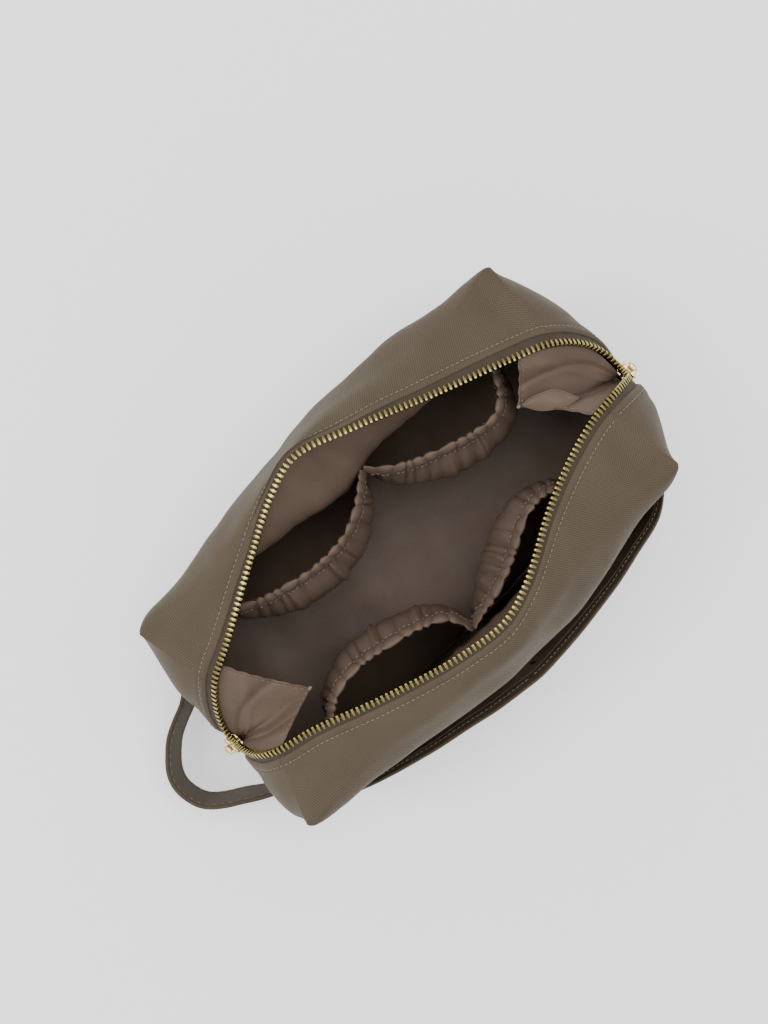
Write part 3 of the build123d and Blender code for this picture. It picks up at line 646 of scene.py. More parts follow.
def lining_rows(side, columns=200):
    u = np.linspace(-1, 1, columns)
    share = TURN[side, -1] + (u + 1) / 2 * (TURN[side, 1] - TURN[side, -1])
    spot, _, across, up = zip_at(side, share)
    keys = np.linspace(-1, 1, 9)
    foot = through(keys, [s[0] for s in WALL[side]], u)
    foot[:, 1] -= side * 4.5
    foot[:, 0] *= 0.985
    foot[:, 2] = 2.4
    reach = through(keys, [[r] for r in LINING_REACH[side]], u)[:, 0]
    hem = np.stack([0.5 * (foot[:, 0] + spot[:, 0]), reach, np.full(columns, 88.0)], axis=1)
    low = 0.5 * (foot + hem)
    low[:, 1] += side * 1.5
    top = spot + across * (fold_out(side, spot) * 0.6 + 1.6) - up * 2.1
    under = top - np.array([0, 0, 6.0]) - across * 1.0
    rows = through((0, 0.35, 0.68, 0.92, 1.0), np.stack([foot, low, hem, under, top]),
                   np.linspace(0, 1, 70))
    out = grid_normals(rows)
    v = np.linspace(0, 1, 70)[:, None]
    fade = np.sin(np.pi * np.clip(v * 1.02, 0, 1)) ** 0.6 * np.clip((1 - abs(u)) / 0.06, 0, 1)
    x, z = rows[..., 0], rows[..., 2]
    soft = ripple(x, z * 0.5, 7.7 + side, 44.0) * 2.2 + ripple(x, z * 0.3, 3.3 + side, 17.0) * 0.8
    gather = np.sin(x * 0.55 + 1.4 * np.sin(x * 0.13)) * np.exp(-((v - 0.92) / 0.14) ** 2) * 0.7
    return rows + out * ((soft * np.clip((0.95 - v) / 0.35, 0, 1) + gather) * fade)[..., None]


lining_back_rows, lining_front_rows = lining_rows(1), lining_rows(-1)
cloth("lining_back_satin", lining_back_rows, 0.35, LINING, "bag", ["lining_back"])
cloth("lining_front_satin", lining_front_rows, 0.35, LINING, "bag", ["lining_front"], flip=True)

for end, word in ((-1, "left"), (1, "right")):
    column = 0 if end < 0 else -1
    left, right = lining_back_rows[:, column], lining_front_rows[:, column]
    run = []
    for side in (1, -1):
        above_tail = ZIP[side]["spot"][:, 2] > TAIL_TOP - 4
        first = np.argmax(above_tail) if end < 0 else ZIP_POINTS - 1 - np.argmax(above_tail[::-1])
        share = np.linspace(TURN[side, end], first / (ZIP_POINTS - 1), 40)[::side]
        spot, _, across, up = zip_at(side, share)
        run.append(spot + across * 2.5 - up * 2.2)
    top = even(np.concatenate([left[-1:], *run, right[-1:]]), 90)
    foot = np.linspace(left[0], right[0], 90)
    foot[:, 0] += end * 3.0 * np.sin(np.linspace(0, math.pi, 90))
    sheet = patch(left, right, foot, top)
    v, w = np.linspace(0, 1, 70)[:, None], np.linspace(0, 1, 90)[None, :]
    hold = np.sin(np.pi * w) ** 0.6 * np.sin(np.pi * v) ** 0.5
    sheet[..., 0] += (ripple(sheet[..., 1], sheet[..., 2], 9.0 + end, 30.0) * 1.3 * hold
                      + end * 2.0 * hold)
    sheet[..., 0] = np.clip(sheet[..., 0], -123.0, 132.0)
    cloth(f"lining_{word}_end_satin", sheet, 0.35, LINING, "bag",
          [f"lining_{word}_end"], flip=end > 0)

w = np.linspace(0.04, 0.96, 50)[:, None, None]
lining_base = (1 - w) * feet[-1][None] + w * feet[1][None]
lining_base[..., 0] *= 0.985
lining_base[..., 2] = 2.6 + np.clip(ripple(lining_base[..., 0], lining_base[..., 1], 6.0, 46.0), -0.6, 2) * 0.8
cloth("lining_base_satin", lining_base, 0.35, LINING, "bag", ["lining_base"], flip=True)

# ---------------------------------------------------------------------------------------
# Inner pockets: four pouches of the lining, each with an elastic run through its hem, so
# the hem scrunches up, bows into the bag and the cloth below it hangs in small folds.
# ---------------------------------------------------------------------------------------
POCKETS = {
    "back_left": (1, ((-88, 42, 84), (-80, 37, 87), (-66, 30, 90), (-53, 26, 91), (-37, 22.8, 91),
                      (-18, 23.5, 90), (-5, 28.5, 88), (4, 35, 86), (11, 41, 84))),
    "back_right": (1, ((13, 41, 84), (19, 34.5, 86), (30, 27, 89), (46, 20.5, 91), (62, 15.5, 92),
                       (75, 14.5, 92), (83, 19.5, 90), (89, 29, 87), (93, 39, 85))),
    "front_left": (-1, ((-88, -44, 84), (-82, -35, 88), (-72, -28, 91), (-54, -25.5, 92),
                        (-38, -28.5, 91), (-21, -33, 90), (-10, -39, 88), (-6, -46, 86),
                        (-5, -52, 84))),
    "front_right": (-1, ((-3, -52, 84), (4, -49.5, 86), (14, -47.5, 88), (27, -43, 90),
                         (40, -36.5, 91), (52, -30.5, 92), (64, -29, 91), (74, -33, 88),
                         (81, -41, 85))),
}


def closed_band(name, spots, beside, up, shape, around, paint, replaces=(), body="bag", blend=None):
    """A closed strip swept along a line; shape gives each ring's offsets beside and up."""
    bm = bmesh.new()
    uv = bm.loops.layers.uv.new("UVMap")
    run = np.concatenate([[0], np.cumsum(np.linalg.norm(np.diff(spots, axis=0), axis=1))])
    rings, place = [], {}
    for i in range(len(spots)):
        ring = []
        for k in range(around):
            a, b = shape(run[i], run[-1], k / around * 6.28319)
            vert = bm.verts.new(Vector(spots[i] + beside[i] * a + up[i] * b) * MM)
            place[vert] = (run[i] * MM, k)
            ring.append(vert)
        rings.append(ring)
    for first, second in zip(rings, rings[1:]):
        for k in range(around):
            n = (k + 1) % around
            face = bm.faces.new((first[k], second[k], second[n], first[n]))
            for loop, step in zip(face.loops, (k, k, k + 1, k + 1)):
                loop[uv].uv = (place[loop.vert][0], step * 0.0009)
    for ring in (rings[0], rings[-1]):
        bm.faces.new(ring)
    bmesh.ops.recalc_face_normals(bm, faces=bm.faces)
    return finish_piece(name, bm, paint, body, replaces, blend=blend, angle=70)


def gathers(run, number):
    """Row of soft puffs between tight pleats, about 6.5 mm apart and never quite even."""
    beat = run * math.pi / 6.5 + 0.8 * np.sin(run * 0.19 + number * 1.7) + 0.35 * np.sin(run * 0.53 + number)
    return 2.0 * abs(np.sin(beat)) ** 0.75 - 1.0


for number, (word, (side, hem_points)) in enumerate(POCKETS.items()):
    hem = line(hem_points, 330)
    wall = lining_back_rows if side > 0 else lining_front_rows
    ends = hem[[0, -1], 0]
    spread = np.linspace(ends[0] * 0.99, ends[1] * 0.99, len(hem))
    foot_y = np.interp(spread, wall[4, :, 0], wall[4, :, 1]) - side * 1.0
    foot = np.stack([spread, foot_y, np.full(len(hem), 7.0)], axis=1)
    beside = unit(np.cross(np.gradient(hem, axis=0), (0, 0, 1)))
    beside *= np.sign(beside[len(hem) // 2, 1]) * -side
    run = np.concatenate([[0], np.cumsum(np.linalg.norm(np.diff(hem, axis=0), axis=1))])
    tight = np.sin(np.pi * np.clip(run / run[-1], 0.0, 1.0)) ** 0.5
    v = np.linspace(0, 1, 44)[:, None]
    bow = 1 - (1 - v) ** 1.7
    sheet = foot[None] * (1 - bow[..., None]) + hem[None] * bow[..., None]
    sheet[..., 2] = 7.0 * (1 - v) + (hem[:, 2] - 3.5)[None] * v
    loose = np.clip(v - 0.25, 0, 1) ** 1.4
    puff = (19.0 if side > 0 else 15.0) * np.sin(np.pi * v**1.4) ** 0.9 * tight[None] ** 1.5
    wave = 6.283 / 21.0 * run[None] + 1.9 * np.sin(run[None] / 11.0 + number) + 1.8 * v
    fold = ((1 - 2 * abs(np.sin(wave * 0.5)) ** 0.6) * 1.9 + 0.8 * np.sin(wave * 1.7 + number)) * loose * tight[None]
    drop = (0.6 + gathers(run + 2.0 * (1 - v) * np.sin(run / 15.0), number)) * np.exp(-(1 - v) / 0.2) * 1.5
    sheet = sheet + beside[None] * (puff + fold + drop)[..., None]
    cloth(f"pocket_{word}_satin", sheet, 0.35, LINING, "bag",
          [f"pocket_{word}"], flip=side < 0)

    def scrunch(along, total, turn, number=number):
        lag = along + 1.6 * math.sin(turn) * math.sin(along * 0.23 + number)
        puff = 0.5 + 0.5 * float(gathers(np.array(lag), number))
        hold = min(1.0, 0.3 + 5 * min(along, total - along) / total)
        crown = 0.5 + 0.5 * math.sin(turn)
        crimp = 0.10 * math.sin(along * 6.283 / 1.7 + 3 * math.sin(turn))
        thick = 0.55 + (1.9 * puff * hold + crimp) * (0.45 + 0.55 * crown)
        return (thick * math.cos(turn) + 3.2 * (1 - crown) - 0.4 * puff,
                4.4 * math.sin(turn) + (1.1 * puff - 0.5) * crown * hold)

    closed_band(f"hem_{word}_scrunch", hem, beside, np.tile((0.0, 0.0, 1.0), (len(hem), 1)),
                scrunch, 22, LINING, [f"hem_{word}"])
    near = 0.5 + 0.5 * gathers(run, number)[:, None]
    spots = hem + beside * (2.5 + 1.1 * near) + np.array([0, 0, -2.0])
    stitch_run(f"hem_{word}_stitch", spots[8:-8], beside[8:-8], LINING_THREAD, "bag",
               pitch=2.6, length=1.8, width=0.4, sink=0.0)

# ---------------------------------------------------------------------------------------
# Lining tucks: at each end of the mouth two flaps of lining run in from the tapes and
# meet in a point; their free edges are turned and stitched, with a small knot at the tip.
# ---------------------------------------------------------------------------------------


def tuck(word, end, shares, tip, valley, arch):
    """Two flaps from the tapes to a shared valley that runs back from the tip."""
    valley = line([tip, *valley], 40)
    for side, reach in shares.items():
        stop = (0.0 if end < 0 else 1.0) + (-end) * 0.062
        spot, _, across, up = zip_at(side, np.linspace(reach, stop, 40))
        tape = spot + across * 1.5 - up * 2.6
        w = np.linspace(0, 1, 44)[None, :, None]
        sheet = tape[:, None] * (1 - w) + valley[:, None] * w
        s, w = np.linspace(0, 1, 40)[:, None], w[..., 0]
        lift = arch[side] * np.sin(np.pi * w) * (1 - s) ** 1.5
        sag = -2.4 * np.sin(np.pi * w) ** 0.9 * np.sin(np.pi * np.clip(s + 0.1, 0, 1))
        crease = (1.1 * np.sin(w * 5.0 + s * 3.0 + side)
                  - 1.5 * np.exp(-((w - 0.62 + 0.5 * s) / 0.07) ** 2)
                  + 1.0 * np.exp(-((w - 0.30 - 0.4 * s) / 0.10) ** 2)) * np.sin(np.pi * w) * (1 - 0.4 * s)
        sheet[..., 2] += lift + sag + crease
        sheet[..., 0] += -end * 2.0 * np.sin(np.pi * w) * (1 - s) ** 2 * (0.3 if arch[side] > 3 else -0.5)
        part = "back" if side > 0 else "front"
        cloth(f"tuck_{word}_{part}_flap", sheet[::-1], 0.45, LINING, "bag",
              [f"corner_tuck_{word}"] if side > 0 else [], flip=side * end > 0)
        rim = sheet[0]
        inward = unit(sheet[3] - sheet[0])
        up_way = np.tile((0.0, 0.0, 1.0), (len(rim), 1))
        closed_band(f"tuck_{word}_{part}_rim", rim, inward, up_way,
                    lambda along, total, turn: (0.7 * math.cos(turn) + 0.3 * math.sin(along * 0.9),
                                                0.6 * math.sin(turn) + 0.2 * math.sin(along * 1.3)),
                    8, LINING)
        stitch_run(f"tuck_{word}_{part}_stitch", rim + inward * 1.7 + up_way * 0.2, up_way,
                   LINING_THREAD, "bag", pitch=2.8, length=1.7, width=0.35, sink=0.05)
    knot = bmesh.new()
    bmesh.ops.create_icosphere(knot, subdivisions=2, radius=0.95 * MM)
    for vert in knot.verts:
        wobble = 1 + 0.22 * math.sin(vert.co.x * 5200) * math.cos(vert.co.y * 4700)
        vert.co = Vector((vert.co.x * 1.3, vert.co.y, vert.co.z * 0.9)) * wobble + Vector(tip) * MM
    finish_piece(f"tuck_{word}_knot", knot, LINING_THREAD, "bag")


LEFT_SHARES = {1: share_at_x(1, -101.0) - 0.004, -1: share_at_x(-1, -110.0)}
RIGHT_SHARES = {1: share_at_x(1, 102.0), -1: share_at_x(-1, 110.0)}
tuck("left", -1, LEFT_SHARES, (-79.0, -16.5, 97.0),
     ((-92.0, -15.0, 90.0), (-106.0, -13.5, 83.0), (-119.0, -11.5, 73.0)), {1: 1.0, -1: 1.5})
tuck("right", 1, RIGHT_SHARES, (86.0, 9.5, 97.0), ((98.0, 3.0, 92.0), (112.0, -6.0, 84.0), (127.0, -13.0, 72.0)),
     {1: 1.5, -1: 3.0})
lower = line([(86.6, 9.0, 98.6), (91.4, 0.8, 100.5), (97.1, -3.8, 102.0),
              (102.5, -6.6, 101.5), (109.5, -8.2, 97.5)], 40)
upper = line([(86.6, 9.0, 98.6), (91.5, 8.6, 100.8), (97.0, 6.6, 102.4),
              (103.2, 3.0, 101.6), (109.5, -8.2, 97.5)], 40)
w = np.linspace(0, 1, 12)[:, None, None]
curl = lower[None] * (1 - w) + upper[None] * w
curl[..., 2] += 1.3 * np.sin(np.pi * w[..., 0]) * np.sin(np.pi * np.linspace(0, 1, 40))
cloth("tuck_right_front_curl", curl, 0.4, LINING, "bag")
closed_band("tuck_right_curl_rim", upper, unit(lower - upper + 1e-6), np.tile((0.0, 0.0, 1.0), (40, 1)),
            lambda along, total, turn: (0.55 * math.cos(turn), 0.5 * math.sin(turn) + 0.12 * math.sin(along * 1.9)),
            8, LINING)

# ---------------------------------------------------------------------------------------
# Zip tapes: dark herringbone ribbons that carry the teeth and disappear under the folds.
# ---------------------------------------------------------------------------------------
tape_paint = Shader("herringbone_tape")
uv, u, v = tape_paint.along()
column_side = (v * (1 / 0.0021)).fraction().above(0.5)
slope = column_side * 2.0 - 1.0
rib = ((u + v * slope * 1.0) * (6.2832 / 0.00105)).sine() * 0.5 + 0.5
cloud = tape_paint.noise(uv, 90.0, 3.0)
tape_paint.set(Base_Color=tape_paint.mix(rib * 0.6 + cloud * 0.4, (0.026, 0.018, 0.012, 1), (0.085, 0.064, 0.044, 1)),
               Roughness=rib * 0.1 + 0.66)
tape_paint.surface.inputs["Specular IOR Level"].default_value = 0.2
tape_paint.bump(rib + column_side * 0.3, 0.6, 0.0002)

for side, part in ((1, "back"), (-1, "front")):
    spot, ahead, across, up = zip_at(side, np.linspace(0.0, 1.0, 520))
    reach = np.linspace(0.12, 1.0, 9)[:, None, None] * (fold_out(side, spot) + 1.8)[None]
    run = np.concatenate([[0], np.cumsum(np.linalg.norm(np.diff(spot, axis=0), axis=1))])
    cockle = 0.12 * np.sin(run * 0.9 + np.sin(run * 0.21) * 2)[None, :, None] * (reach / 9)
    sheet = spot[None] + across[None] * reach + up[None] * (0.15 - 0.012 * reach**1.3 + cockle)
    cloth(f"zip_tape_{part}_weave", sheet, 0.55, tape_paint, "bag", [f"zip_tape_{part}"],
          flip=side < 0)

# ---------------------------------------------------------------------------------------
# Zip teeth: two rows of cast metal teeth, each one clamped over the beaded tape edge,
# with a raised head that reaches past it towards the other row.
# ---------------------------------------------------------------------------------------


def metal(name, dark, light, rough, scale=300.0):
    """Plated metal: slightly uneven plating and finer scratches, darker and duller in random patches."""
    paint = Shader(name)
    place = paint.object_place()
    cloud, scratch = paint.noise(place, scale, 3.0), paint.noise(place, scale * 6, 2.0)
    paint.set(Base_Color=paint.mix(cloud * 0.7 + scratch * 0.3, dark, light),
              Roughness=cloud * 0.16 + scratch * 0.1 + (rough - 0.1), Metallic=1.0)
    paint.bump(scratch, 0.12, 0.00005)
    return paint


BRASS = metal("antique_brass", (0.20, 0.155, 0.04, 1), (0.50, 0.42, 0.17, 1), 0.24)
GOLD = metal("light_gold_plate", (0.72, 0.53, 0.27, 1), (0.90, 0.72, 0.44, 1), 0.22)
TOOTH_PITCH = 2.6


def tooth_shape():
    """One tooth: legs over the tape, narrower neck and a rounded head."""
    bm = bmesh.new()
    outline = ((-0.75, 0.45), (-0.5, 0.80), (0.55, 0.84), (0.95, 0.62), (2.6, 0.66), (2.8, 0.5))
    ring = [(x, y) for x, y in outline] + [(x, -y) for x, y in outline[::-1]]
    low = [bm.verts.new((x, y, -1.15)) for x, y in ring]
    high = [bm.verts.new((x, y * 0.80, 1.35 - 0.28 * max(0.0, x - 0.4))) for x, y in ring]
    bm.faces.new(low[::-1])
    bm.faces.new(high)
    for k in range(len(ring)):
        n = (k + 1) % len(ring)
        bm.faces.new((low[k], low[n], high[n], high[k]))
    bmesh.ops.bevel(bm, geom=list(bm.edges), offset=0.2, segments=2, profile=0.5, affect="EDGES",
                    material=-1)
    bmesh.ops.recalc_face_normals(bm, faces=bm.faces)
    return bm


tooth = tooth_shape()
tooth.verts.ensure_lookup_table()
for side, part in ((1, "back"), (-1, "front")):
    length = np.linalg.norm(np.diff(ZIP[side]["spot"], axis=0), axis=1).sum()
    count = int(length / TOOTH_PITCH)
    shares = (np.arange(count) + (0.25 if side > 0 else 0.75)) / count
    spot, ahead, across, up = zip_at(side, shares)
    bm = bmesh.new()
    for i in range(count):
        close = 0.85 * np.clip((TAIL_TOP + 3 - spot[i, 2]) / 6.0, 0, 1) if abs(spot[i, 0]) > 124 else 0.0
        place = spot[i] - across[i] * close
        turn = Matrix((across[i], ahead[i] * side, up[i])).transposed()
        made = [bm.verts.new((Vector(place) + turn @ vert.co) * MM) for vert in tooth.verts]
        for face in tooth.faces:
            bm.faces.new([made[vert.index] for vert in face.verts])
    bmesh.ops.recalc_face_normals(bm, faces=bm.faces)
    finish_piece(f"zip_teeth_{part}_row", bm, BRASS, "bag", [f"zip_teeth_{part}"], angle=30)
tooth.free()

# ---------------------------------------------------------------------------------------
# End stops: a folded metal clip pinched over both tapes at the foot of each tail.
# ---------------------------------------------------------------------------------------
for word, tail in (("left", LEFT_TAIL), ("right", RIGHT_TAIL)):
    low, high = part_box(f"zip_stop_{word}")
    bm = bmesh.new()
    bmesh.ops.create_cube(bm, size=1.0)
    for vert in bm.verts:
        vert.co = Vector([(low[k] + high[k]) / 2 + vert.co[k] * (high[k] - low[k]) for k in range(3)])
    bmesh.ops.subdivide_edges(bm, edges=[e for e in bm.edges if abs(e.verts[0].co.y - e.verts[1].co.y) > 0.001],
                              cuts=3, use_grid_fill=True)
    for vert in bm.verts:
        if abs(vert.co.y - tail[1] * MM) < 0.0012:
            vert.co.x = tail[0] * MM + (vert.co.x - tail[0] * MM) * 0.72
    bmesh.ops.bevel(bm, geom=[e for e in bm.edges if e.calc_face_angle(0) > 0.5], offset=0.0004, segments=2,
                    profile=0.5, affect="EDGES", material=-1)
    finish_piece(f"zip_stop_{word}_clip", bm, BRASS, "bag", [f"zip_stop_{word}"], angle=30)

# ---------------------------------------------------------------------------------------
# Sliders: a waisted two-plate body round the chain with turned-in flanges, and a pair of
# ears outside that hold the pin the pull swings on.
# ---------------------------------------------------------------------------------------
SLIDER_LENGTH, PIN_REACH, PLATE, SPACE = 11.0, 2.6, 1.2, 3.2


def rounded_plate(bm, outline, x0, x1, bevel):
    """A plate from an outline in the end face's plane, between two depths, edges rounded."""
    near = [bm.verts.new(Vector((x0, y, z)) * MM) for y, z in outline]
    far = [bm.verts.new(Vector((x1, y, z)) * MM) for y, z in outline]
    faces = [bm.faces.new(near), bm.faces.new(far[::-1])]
    for k in range(len(outline)):
        n = (k + 1) % len(outline)
        faces.append(bm.faces.new((near[n], near[k], far[k], far[n])))
    bmesh.ops.recalc_face_normals(bm, faces=faces)
    edges = list({e for f in faces for e in f.edges})
    bmesh.ops.bevel(bm, geom=edges, offset=bevel * MM, segments=2, profile=0.5, affect="EDGES", material=-1)


def rod(bm, a, b, radius, sides=16):
    """A round pin between two points."""
    made = bmesh.ops.create_cone(bm, cap_ends=True, segments=sides, radius1=radius * MM,
                                 radius2=radius * MM, depth=(Vector(b) - Vector(a)).length * MM)
    turn = (Vector(b) - Vector(a)).to_track_quat("Z", "Y").to_matrix().to_4x4()
    bmesh.ops.transform(bm, verts=made["verts"], matrix=Matrix.Translation((Vector(a) + Vector(b)) / 2 * MM) @ turn)


for word, tail, out in (("left", LEFT_TAIL, -1), ("right", RIGHT_TAIL, 1)):
    x, y = tail
    z = TAIL_TOP - SLIDER_LENGTH / 2 - 0.5
    half = SLIDER_LENGTH / 2
    bm = bmesh.new()
    shield = [(y + a, z + b) for a, b in (
        (-4.7, half - 1.2), (-3.9, half), (-1.4, half), (0, half - 0.7), (1.4, half), (3.9, half), (4.7, half - 1.2),
        (4.6, half - 4.5), (3.6, -half + 2.4), (3.4, -half + 0.8), (2.6, -half), (-2.6, -half),
        (-3.4, -half + 0.8), (-3.6, -half + 2.4), (-4.6, half - 4.5))]
    for reach in (-1, 1):
        inner, outer = x + reach * SPACE / 2, x + reach * (SPACE / 2 + PLATE)
        rounded_plate(bm, shield, inner, outer, 0.32)
        for side in (-1, 1):
            flange = [(y + side * a, z + b) for a, b in ((3.75, half - 1.6), (4.6, half - 1.6), (4.35, half - 5.0),
                                                         (3.55, -half + 1.0), (2.9, -half + 1.0), (3.2, half - 6.0))]
            rounded_plate(bm, flange, inner, inner - reach * 0.8, 0.12)
    rounded_plate(bm, [(y - 0.5, z + half - 3.4), (y - 0.9, z + half - 0.6), (y, z + half - 0.1),
                       (y + 0.9, z + half - 0.6), (y + 0.5, z + half - 3.4), (y, z + half - 4.2)],
                  x - SPACE / 2, x + SPACE / 2, 0.1)
    face_x = x + out * (SPACE / 2 + PLATE)
    for side in (-1, 1):
        ear = [(face_x, z - 2.0), (face_x, z + 2.0), (face_x + out * 2.6, z + 1.5),
               (face_x + out * 3.6, z + 0.7), (face_x + out * 3.6, z - 0.7), (face_x + out * 2.6, z - 1.5)]
        y0, y1 = y + side * 1.8, y + side * 2.7
        near = [bm.verts.new(Vector((a, y0, b)) * MM) for a, b in ear]
        far = [bm.verts.new(Vector((a, y1, b)) * MM) for a, b in ear]
        faces = [bm.faces.new(near), bm.faces.new(far[::-1])]
        faces += [bm.faces.new((near[(k + 1) % 6], near[k], far[k], far[(k + 1) % 6])) for k in range(6)]
        bmesh.ops.recalc_face_normals(bm, faces=faces)
        bmesh.ops.bevel(bm, geom=list({e for f in faces for e in f.edges}), offset=0.2 * MM, segments=2,
                        profile=0.5, affect="EDGES", material=-1)
    pin_x = face_x + out * PIN_REACH
    rod(bm, (pin_x, y - 3.0, z), (pin_x, y + 3.0, z), 0.8)
    finish_piece(f"zip_slider_{word}_body", bm, GOLD, f"slider_{word}",
                 [f"zip_slider_{word}"], angle=35)

    # Pull: a knuckle on the pin, a flat waisted blade and a small round cross bar at its foot.
    bm = bmesh.new()
    blade = [(y + a, z + b) for a, b in ((-1.8, -1.2), (1.8, -1.2), (1.7, -9.0), (2.6, -12.5), (2.7, -22.0),
                                         (1.9, -24.0), (-1.9, -24.0), (-2.7, -22.0), (-2.6, -12.5), (-1.7, -9.0))]
    rounded_plate(bm, blade, pin_x - 0.7, pin_x + 0.7, 0.25)
    rod(bm, (pin_x, y - 4.4, z - 24.0), (pin_x, y + 4.4, z - 24.0), 1.45, 20)
    rings = []
    for side in (-1.3, 1.3):
        for radius in (1.0, 1.7):
            rings.append([bm.verts.new(Vector((pin_x + radius * math.cos(a), y + side, z + radius * math.sin(a))) * MM)
                          for a in np.linspace(0, 2 * math.pi, 24, endpoint=False)])
    for a, b in ((0, 1), (1, 3), (3, 2), (2, 0)):
        for k in range(24):
            bm.faces.new((rings[a][k], rings[a][(k + 1) % 24], rings[b][(k + 1) % 24], rings[b][k]))
    bmesh.ops.recalc_face_normals(bm, faces=bm.faces)
    finish_piece(f"zip_pull_{word}_tab", bm, GOLD, f"pull_{word}", [f"zip_pull_{word}"], angle=35)

# ---------------------------------------------------------------------------------------
# Side handle: a flat strap of the twill, folded edges in, topstitched along both edges
# and sewn into the corner seams of the left end. It stands on edge on the floor.
# ---------------------------------------------------------------------------------------
STRAP_POINTS = ((-116.4, 52.6), (-121.6, 45.0), (-124.8, 34.0), (-127.0, 26.0), (-133.5, 20.6), (-144.0, 15.6),
                (-155.0, 9.4), (-164.0, -0.5), (-167.0, -10.0), (-164.8, -20.5), (-156.0, -29.5), (-144.0, -37.0),
                (-132.0, -44.5), (-123.5, -49.8), (-116.6, -53.0))
strap_line = line([(x, y, 13.6) for x, y in STRAP_POINTS], 260)
ahead = unit(np.gradient(strap_line, axis=0))
outward = unit(np.cross(ahead, (0, 0, 1)))
outward *= np.sign((outward[130] * np.array([-1, 0, 0])).sum())
free = np.clip(np.sin(np.pi * np.linspace(0, 1, 260)) * 1.6, 0, 1)[:, None]
rise = unit(np.tile((0.0, 0.0, 1.0), (260, 1)) + outward * 0.2 * free)
strap_line = strap_line + outward * 0.8 * np.sin(np.linspace(0, 40, 260))[:, None] * 0.25
across_strap = unit(np.cross(ahead, rise))
across_strap *= np.sign((across_strap * outward).sum(axis=1))[:, None]


def strap_section(along, total, turn):
    """Rounded flat section, slightly fatter in the folded edges than in the middle."""
    b = max(-1.0, min(1.0, 1.06 * math.sin(turn)))
    a = max(-1.0, min(1.0, 1.9 * math.cos(turn)))
    edge = 0.25 * math.exp(-((abs(b) - 0.9) / 0.12) ** 2)
    groove = 0.22 * math.exp(-((abs(b) - 0.78) / 0.05) ** 2)
    return a * (0.95 + edge - groove), b * 12.3 * (1 + 0.004 * math.sin(along * 0.35))


HANDLE_BLEND = ("bag", "side_handle", (-0.127, 0.0, 0.0135), (-0.146, 0.0, 0.0135))
closed_band("handle_strap_cloth", strap_line, across_strap, rise, strap_section, 56, OUTER,
            ["handle_strap", "handle_anchor_back", "handle_anchor_front"], blend=HANDLE_BLEND)
for face, face_word in ((1, "outside"), (-1, "inside")):
    for height, edge_word in ((9.6, "top"), (-9.6, "foot")):
        spots = strap_line + rise * height + across_strap * face * 0.86
        stitch_run(f"handle_stitch_{face_word}_{edge_word}", spots, across_strap * face, THREAD, None,
                   pitch=4.2, length=2.8, width=0.5, sink=0.0, blend=HANDLE_BLEND)

# ---------------------------------------------------------------------------------------
# Front slip pocket: a full-width panel of the twill with a satin lining, sewn in at its
# foot and sides. Its stitched hem bows away from the wall, most at the snap.
# ---------------------------------------------------------------------------------------
HEM = ((-117.5, -60.5, 71.0), (-105.0, -67.5, 70.5), (-91.0, -73.5, 70.0), (-62.0, -81.5, 69.5), (-43.0, -85.5, 69.5),
       (-20.0, -90.0, 70.0), (4.0, -92.3, 70.5), (28.0, -91.5, 70.0), (52.0, -88.3, 69.5), (78.0, -83.0, 69.5),
       (100.0, -77.0, 70.0), (112.0, -67.5, 70.5), (117.5, -60.5, 71.0))


def pocket_rows(x0, x1, columns, depth, top):
    """Grid of one stretch of the pocket, this far in from its outer face."""
    hem = line(HEM, 600)
    x = np.linspace(x0, x1, columns)
    hem_y, hem_z = np.interp(x, hem[:, 0], hem[:, 1]), np.interp(x, hem[:, 0], hem[:, 2])
    wall_foot = through(np.linspace(-1, 1, 9), [s[0] for s in WALL[-1]], np.linspace(-1, 1, 200))
    foot_y = np.interp(x, wall_foot[:, 0], wall_foot[:, 1]) - 1.6
    foot = np.stack([x, foot_y, np.full(columns, 2.4)], axis=1)
    lip = np.stack([x, hem_y, hem_z], axis=1)
    v = np.linspace(0, top, 40)[:, None]
    sheet = foot[None] + (lip - foot)[None] * v[..., None]
    slope = unit(lip - foot)
    inward = unit(np.cross(slope, (1.0, 0.0, 0.0)))
    inward *= np.sign(inward[:, 1:2])
    slack = np.clip(1 - (abs(x) / 118.0) ** 6, 0, 1)[None]
    belly = -1.6 * np.sin(np.pi * np.clip(v, 0, 1)) * slack
    soft = (ripple(sheet[..., 0], sheet[..., 2], 8.8, 70.0) * 0.9 * slack
            * np.sin(np.pi * np.clip(v * 0.93, 0, 1)) ** 0.5)
    snap = -0.8 * np.exp(-((x[None] - 2.5) / 9.0) ** 2 - ((v - 0.9) / 0.14) ** 2)
    return sheet + inward[None] * (belly + soft + snap + depth)[..., None], inward, slope


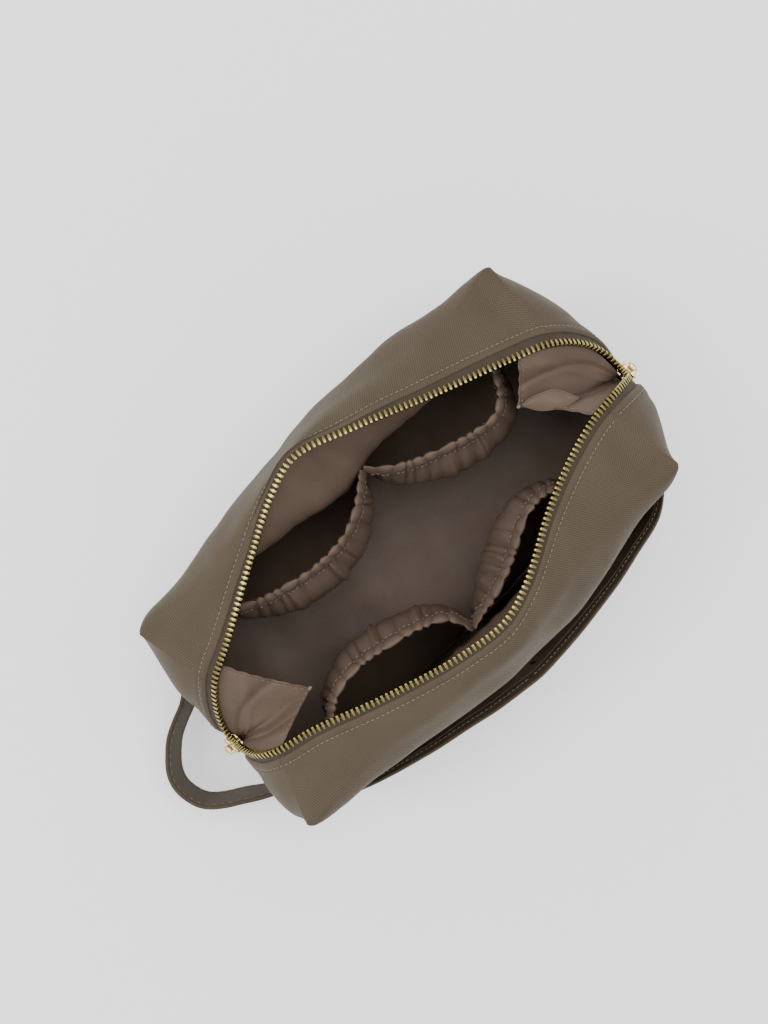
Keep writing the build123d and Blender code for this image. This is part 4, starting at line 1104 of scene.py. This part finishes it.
for word, x0, x1 in (("left", -117.0, 0.0), ("right", 117.0, 0.0)):
    sway = ("bag", "front_pocket", (math.copysign(0.117, x0), -0.07, 0.04), (math.copysign(0.055, x0), -0.07, 0.04))
    low_x, high_x = min(x0, x1), max(x0, x1)
    panel, inward, slope = pocket_rows(low_x, high_x, 130, 0.0, 1.0)
    hem_roll = [panel[-1] + inward * 0.8 * math.sin(turn / 2) ** 2 * 2 + slope * 0.8 * math.sin(turn)
                for turn in np.linspace(0.4, math.pi, 5)]
    facing = [panel[-1] + inward * 1.6 - slope * reach for reach in (2.0, 5.0, 9.0, 12.0)]
    outer_half = np.concatenate([panel, np.stack(hem_roll), np.stack(facing)])
    cloth(f"slip_pocket_{word}_cloth", outer_half, 0.6, OUTER, None,
          ["slip_pocket_panel", "slip_pocket_hem"] if word == "left" else [], flip=False, blend=sway)
    inside, inward, slope = pocket_rows(low_x, high_x, 130, 2.6, 0.90)
    x = inside[..., 0]
    v = np.linspace(0, 1, 40)[:, None]
    pucker = 0.35 * np.sin(x * 0.62 + 1.3 * np.sin(x * 0.21)) * np.clip(v - 0.45, 0, 1) * np.clip((1 - v) * 9, 0, 1)
    gather = (0.9 * np.clip((1 - v) * 9, 0, 1) * np.sin(np.arctan2(v - 0.9, (x - 2.5) / 60) * 9)
              * np.exp(-((x - 2.5) / 13) ** 2) * np.clip(v - 0.6, 0, 1))
    inside = inside + inward[None] * (pucker + gather)[..., None]
    cloth(f"slip_pocket_{word}_lining", inside, 0.35, LINING, None,
          ["slip_pocket_lining"] if word == "left" else [], flip=True, blend=sway)
    spots = panel[-1] - slope * 3.2
    stitch_run(f"slip_pocket_{word}_topstitch_outside", spots - inward * 0.1, -inward,
               THREAD, None, blend=sway)
    stitch_run(f"slip_pocket_{word}_topstitch_inside", spots + inward * 2.1, inward,
               THREAD, None, blend=sway)

# ---------------------------------------------------------------------------------------
# Magnetic snap: a gold ring and socket on the pocket, and its domed half on the wall.
# ---------------------------------------------------------------------------------------


def turned_disc(name, centre, axis, profile, body, node):
    """A disc spun from its profile of radius and height about an axis."""
    bm = bmesh.new()
    verts = [bm.verts.new((r * MM, 0, h * MM)) for r, h in profile]
    edges = [bm.edges.new(pair) for pair in zip(verts, verts[1:])]
    bmesh.ops.spin(bm, geom=verts + edges, cent=(0, 0, 0), axis=(0, 0, 1), angle=2 * math.pi, steps=40,
                   use_merge=True)
    bmesh.ops.remove_doubles(bm, verts=bm.verts, dist=1e-6)
    bmesh.ops.recalc_face_normals(bm, faces=bm.faces)
    turn = Vector(axis).to_track_quat("Z", "Y").to_matrix().to_4x4()
    bmesh.ops.transform(bm, verts=bm.verts, matrix=Matrix.Translation(centre) @ turn)
    return finish_piece(name, bm, GOLD, body, [node], angle=35)


low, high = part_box("snap_socket")
centre = (low + high) / 2
turned_disc("snap_socket_ring", centre - Vector((0, 0.908, 0.418)) * 0.0006, (0, 0.908, 0.418),
            ((0.0, 0.1), (2.6, 0.1), (2.8, 0.9), (4.2, 1.25), (5.6, 1.2), (6.6, 0.8), (7.0, 0.0), (0.0, 0.0)),
            "front_pocket", "snap_socket")
low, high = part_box("snap_stud")
centre = (low + high) / 2
turned_disc("snap_stud_dome", centre + Vector((0, 0.976, 0.216)) * 0.0006, (0, -0.976, -0.216),
            ((0.0, 1.6), (1.4, 1.5), (2.2, 1.1), (2.5, 0.7), (5.8, 0.75), (6.8, 0.4), (7.0, 0.0), (0.0, 0.0)),
            "bag", "snap_stud")
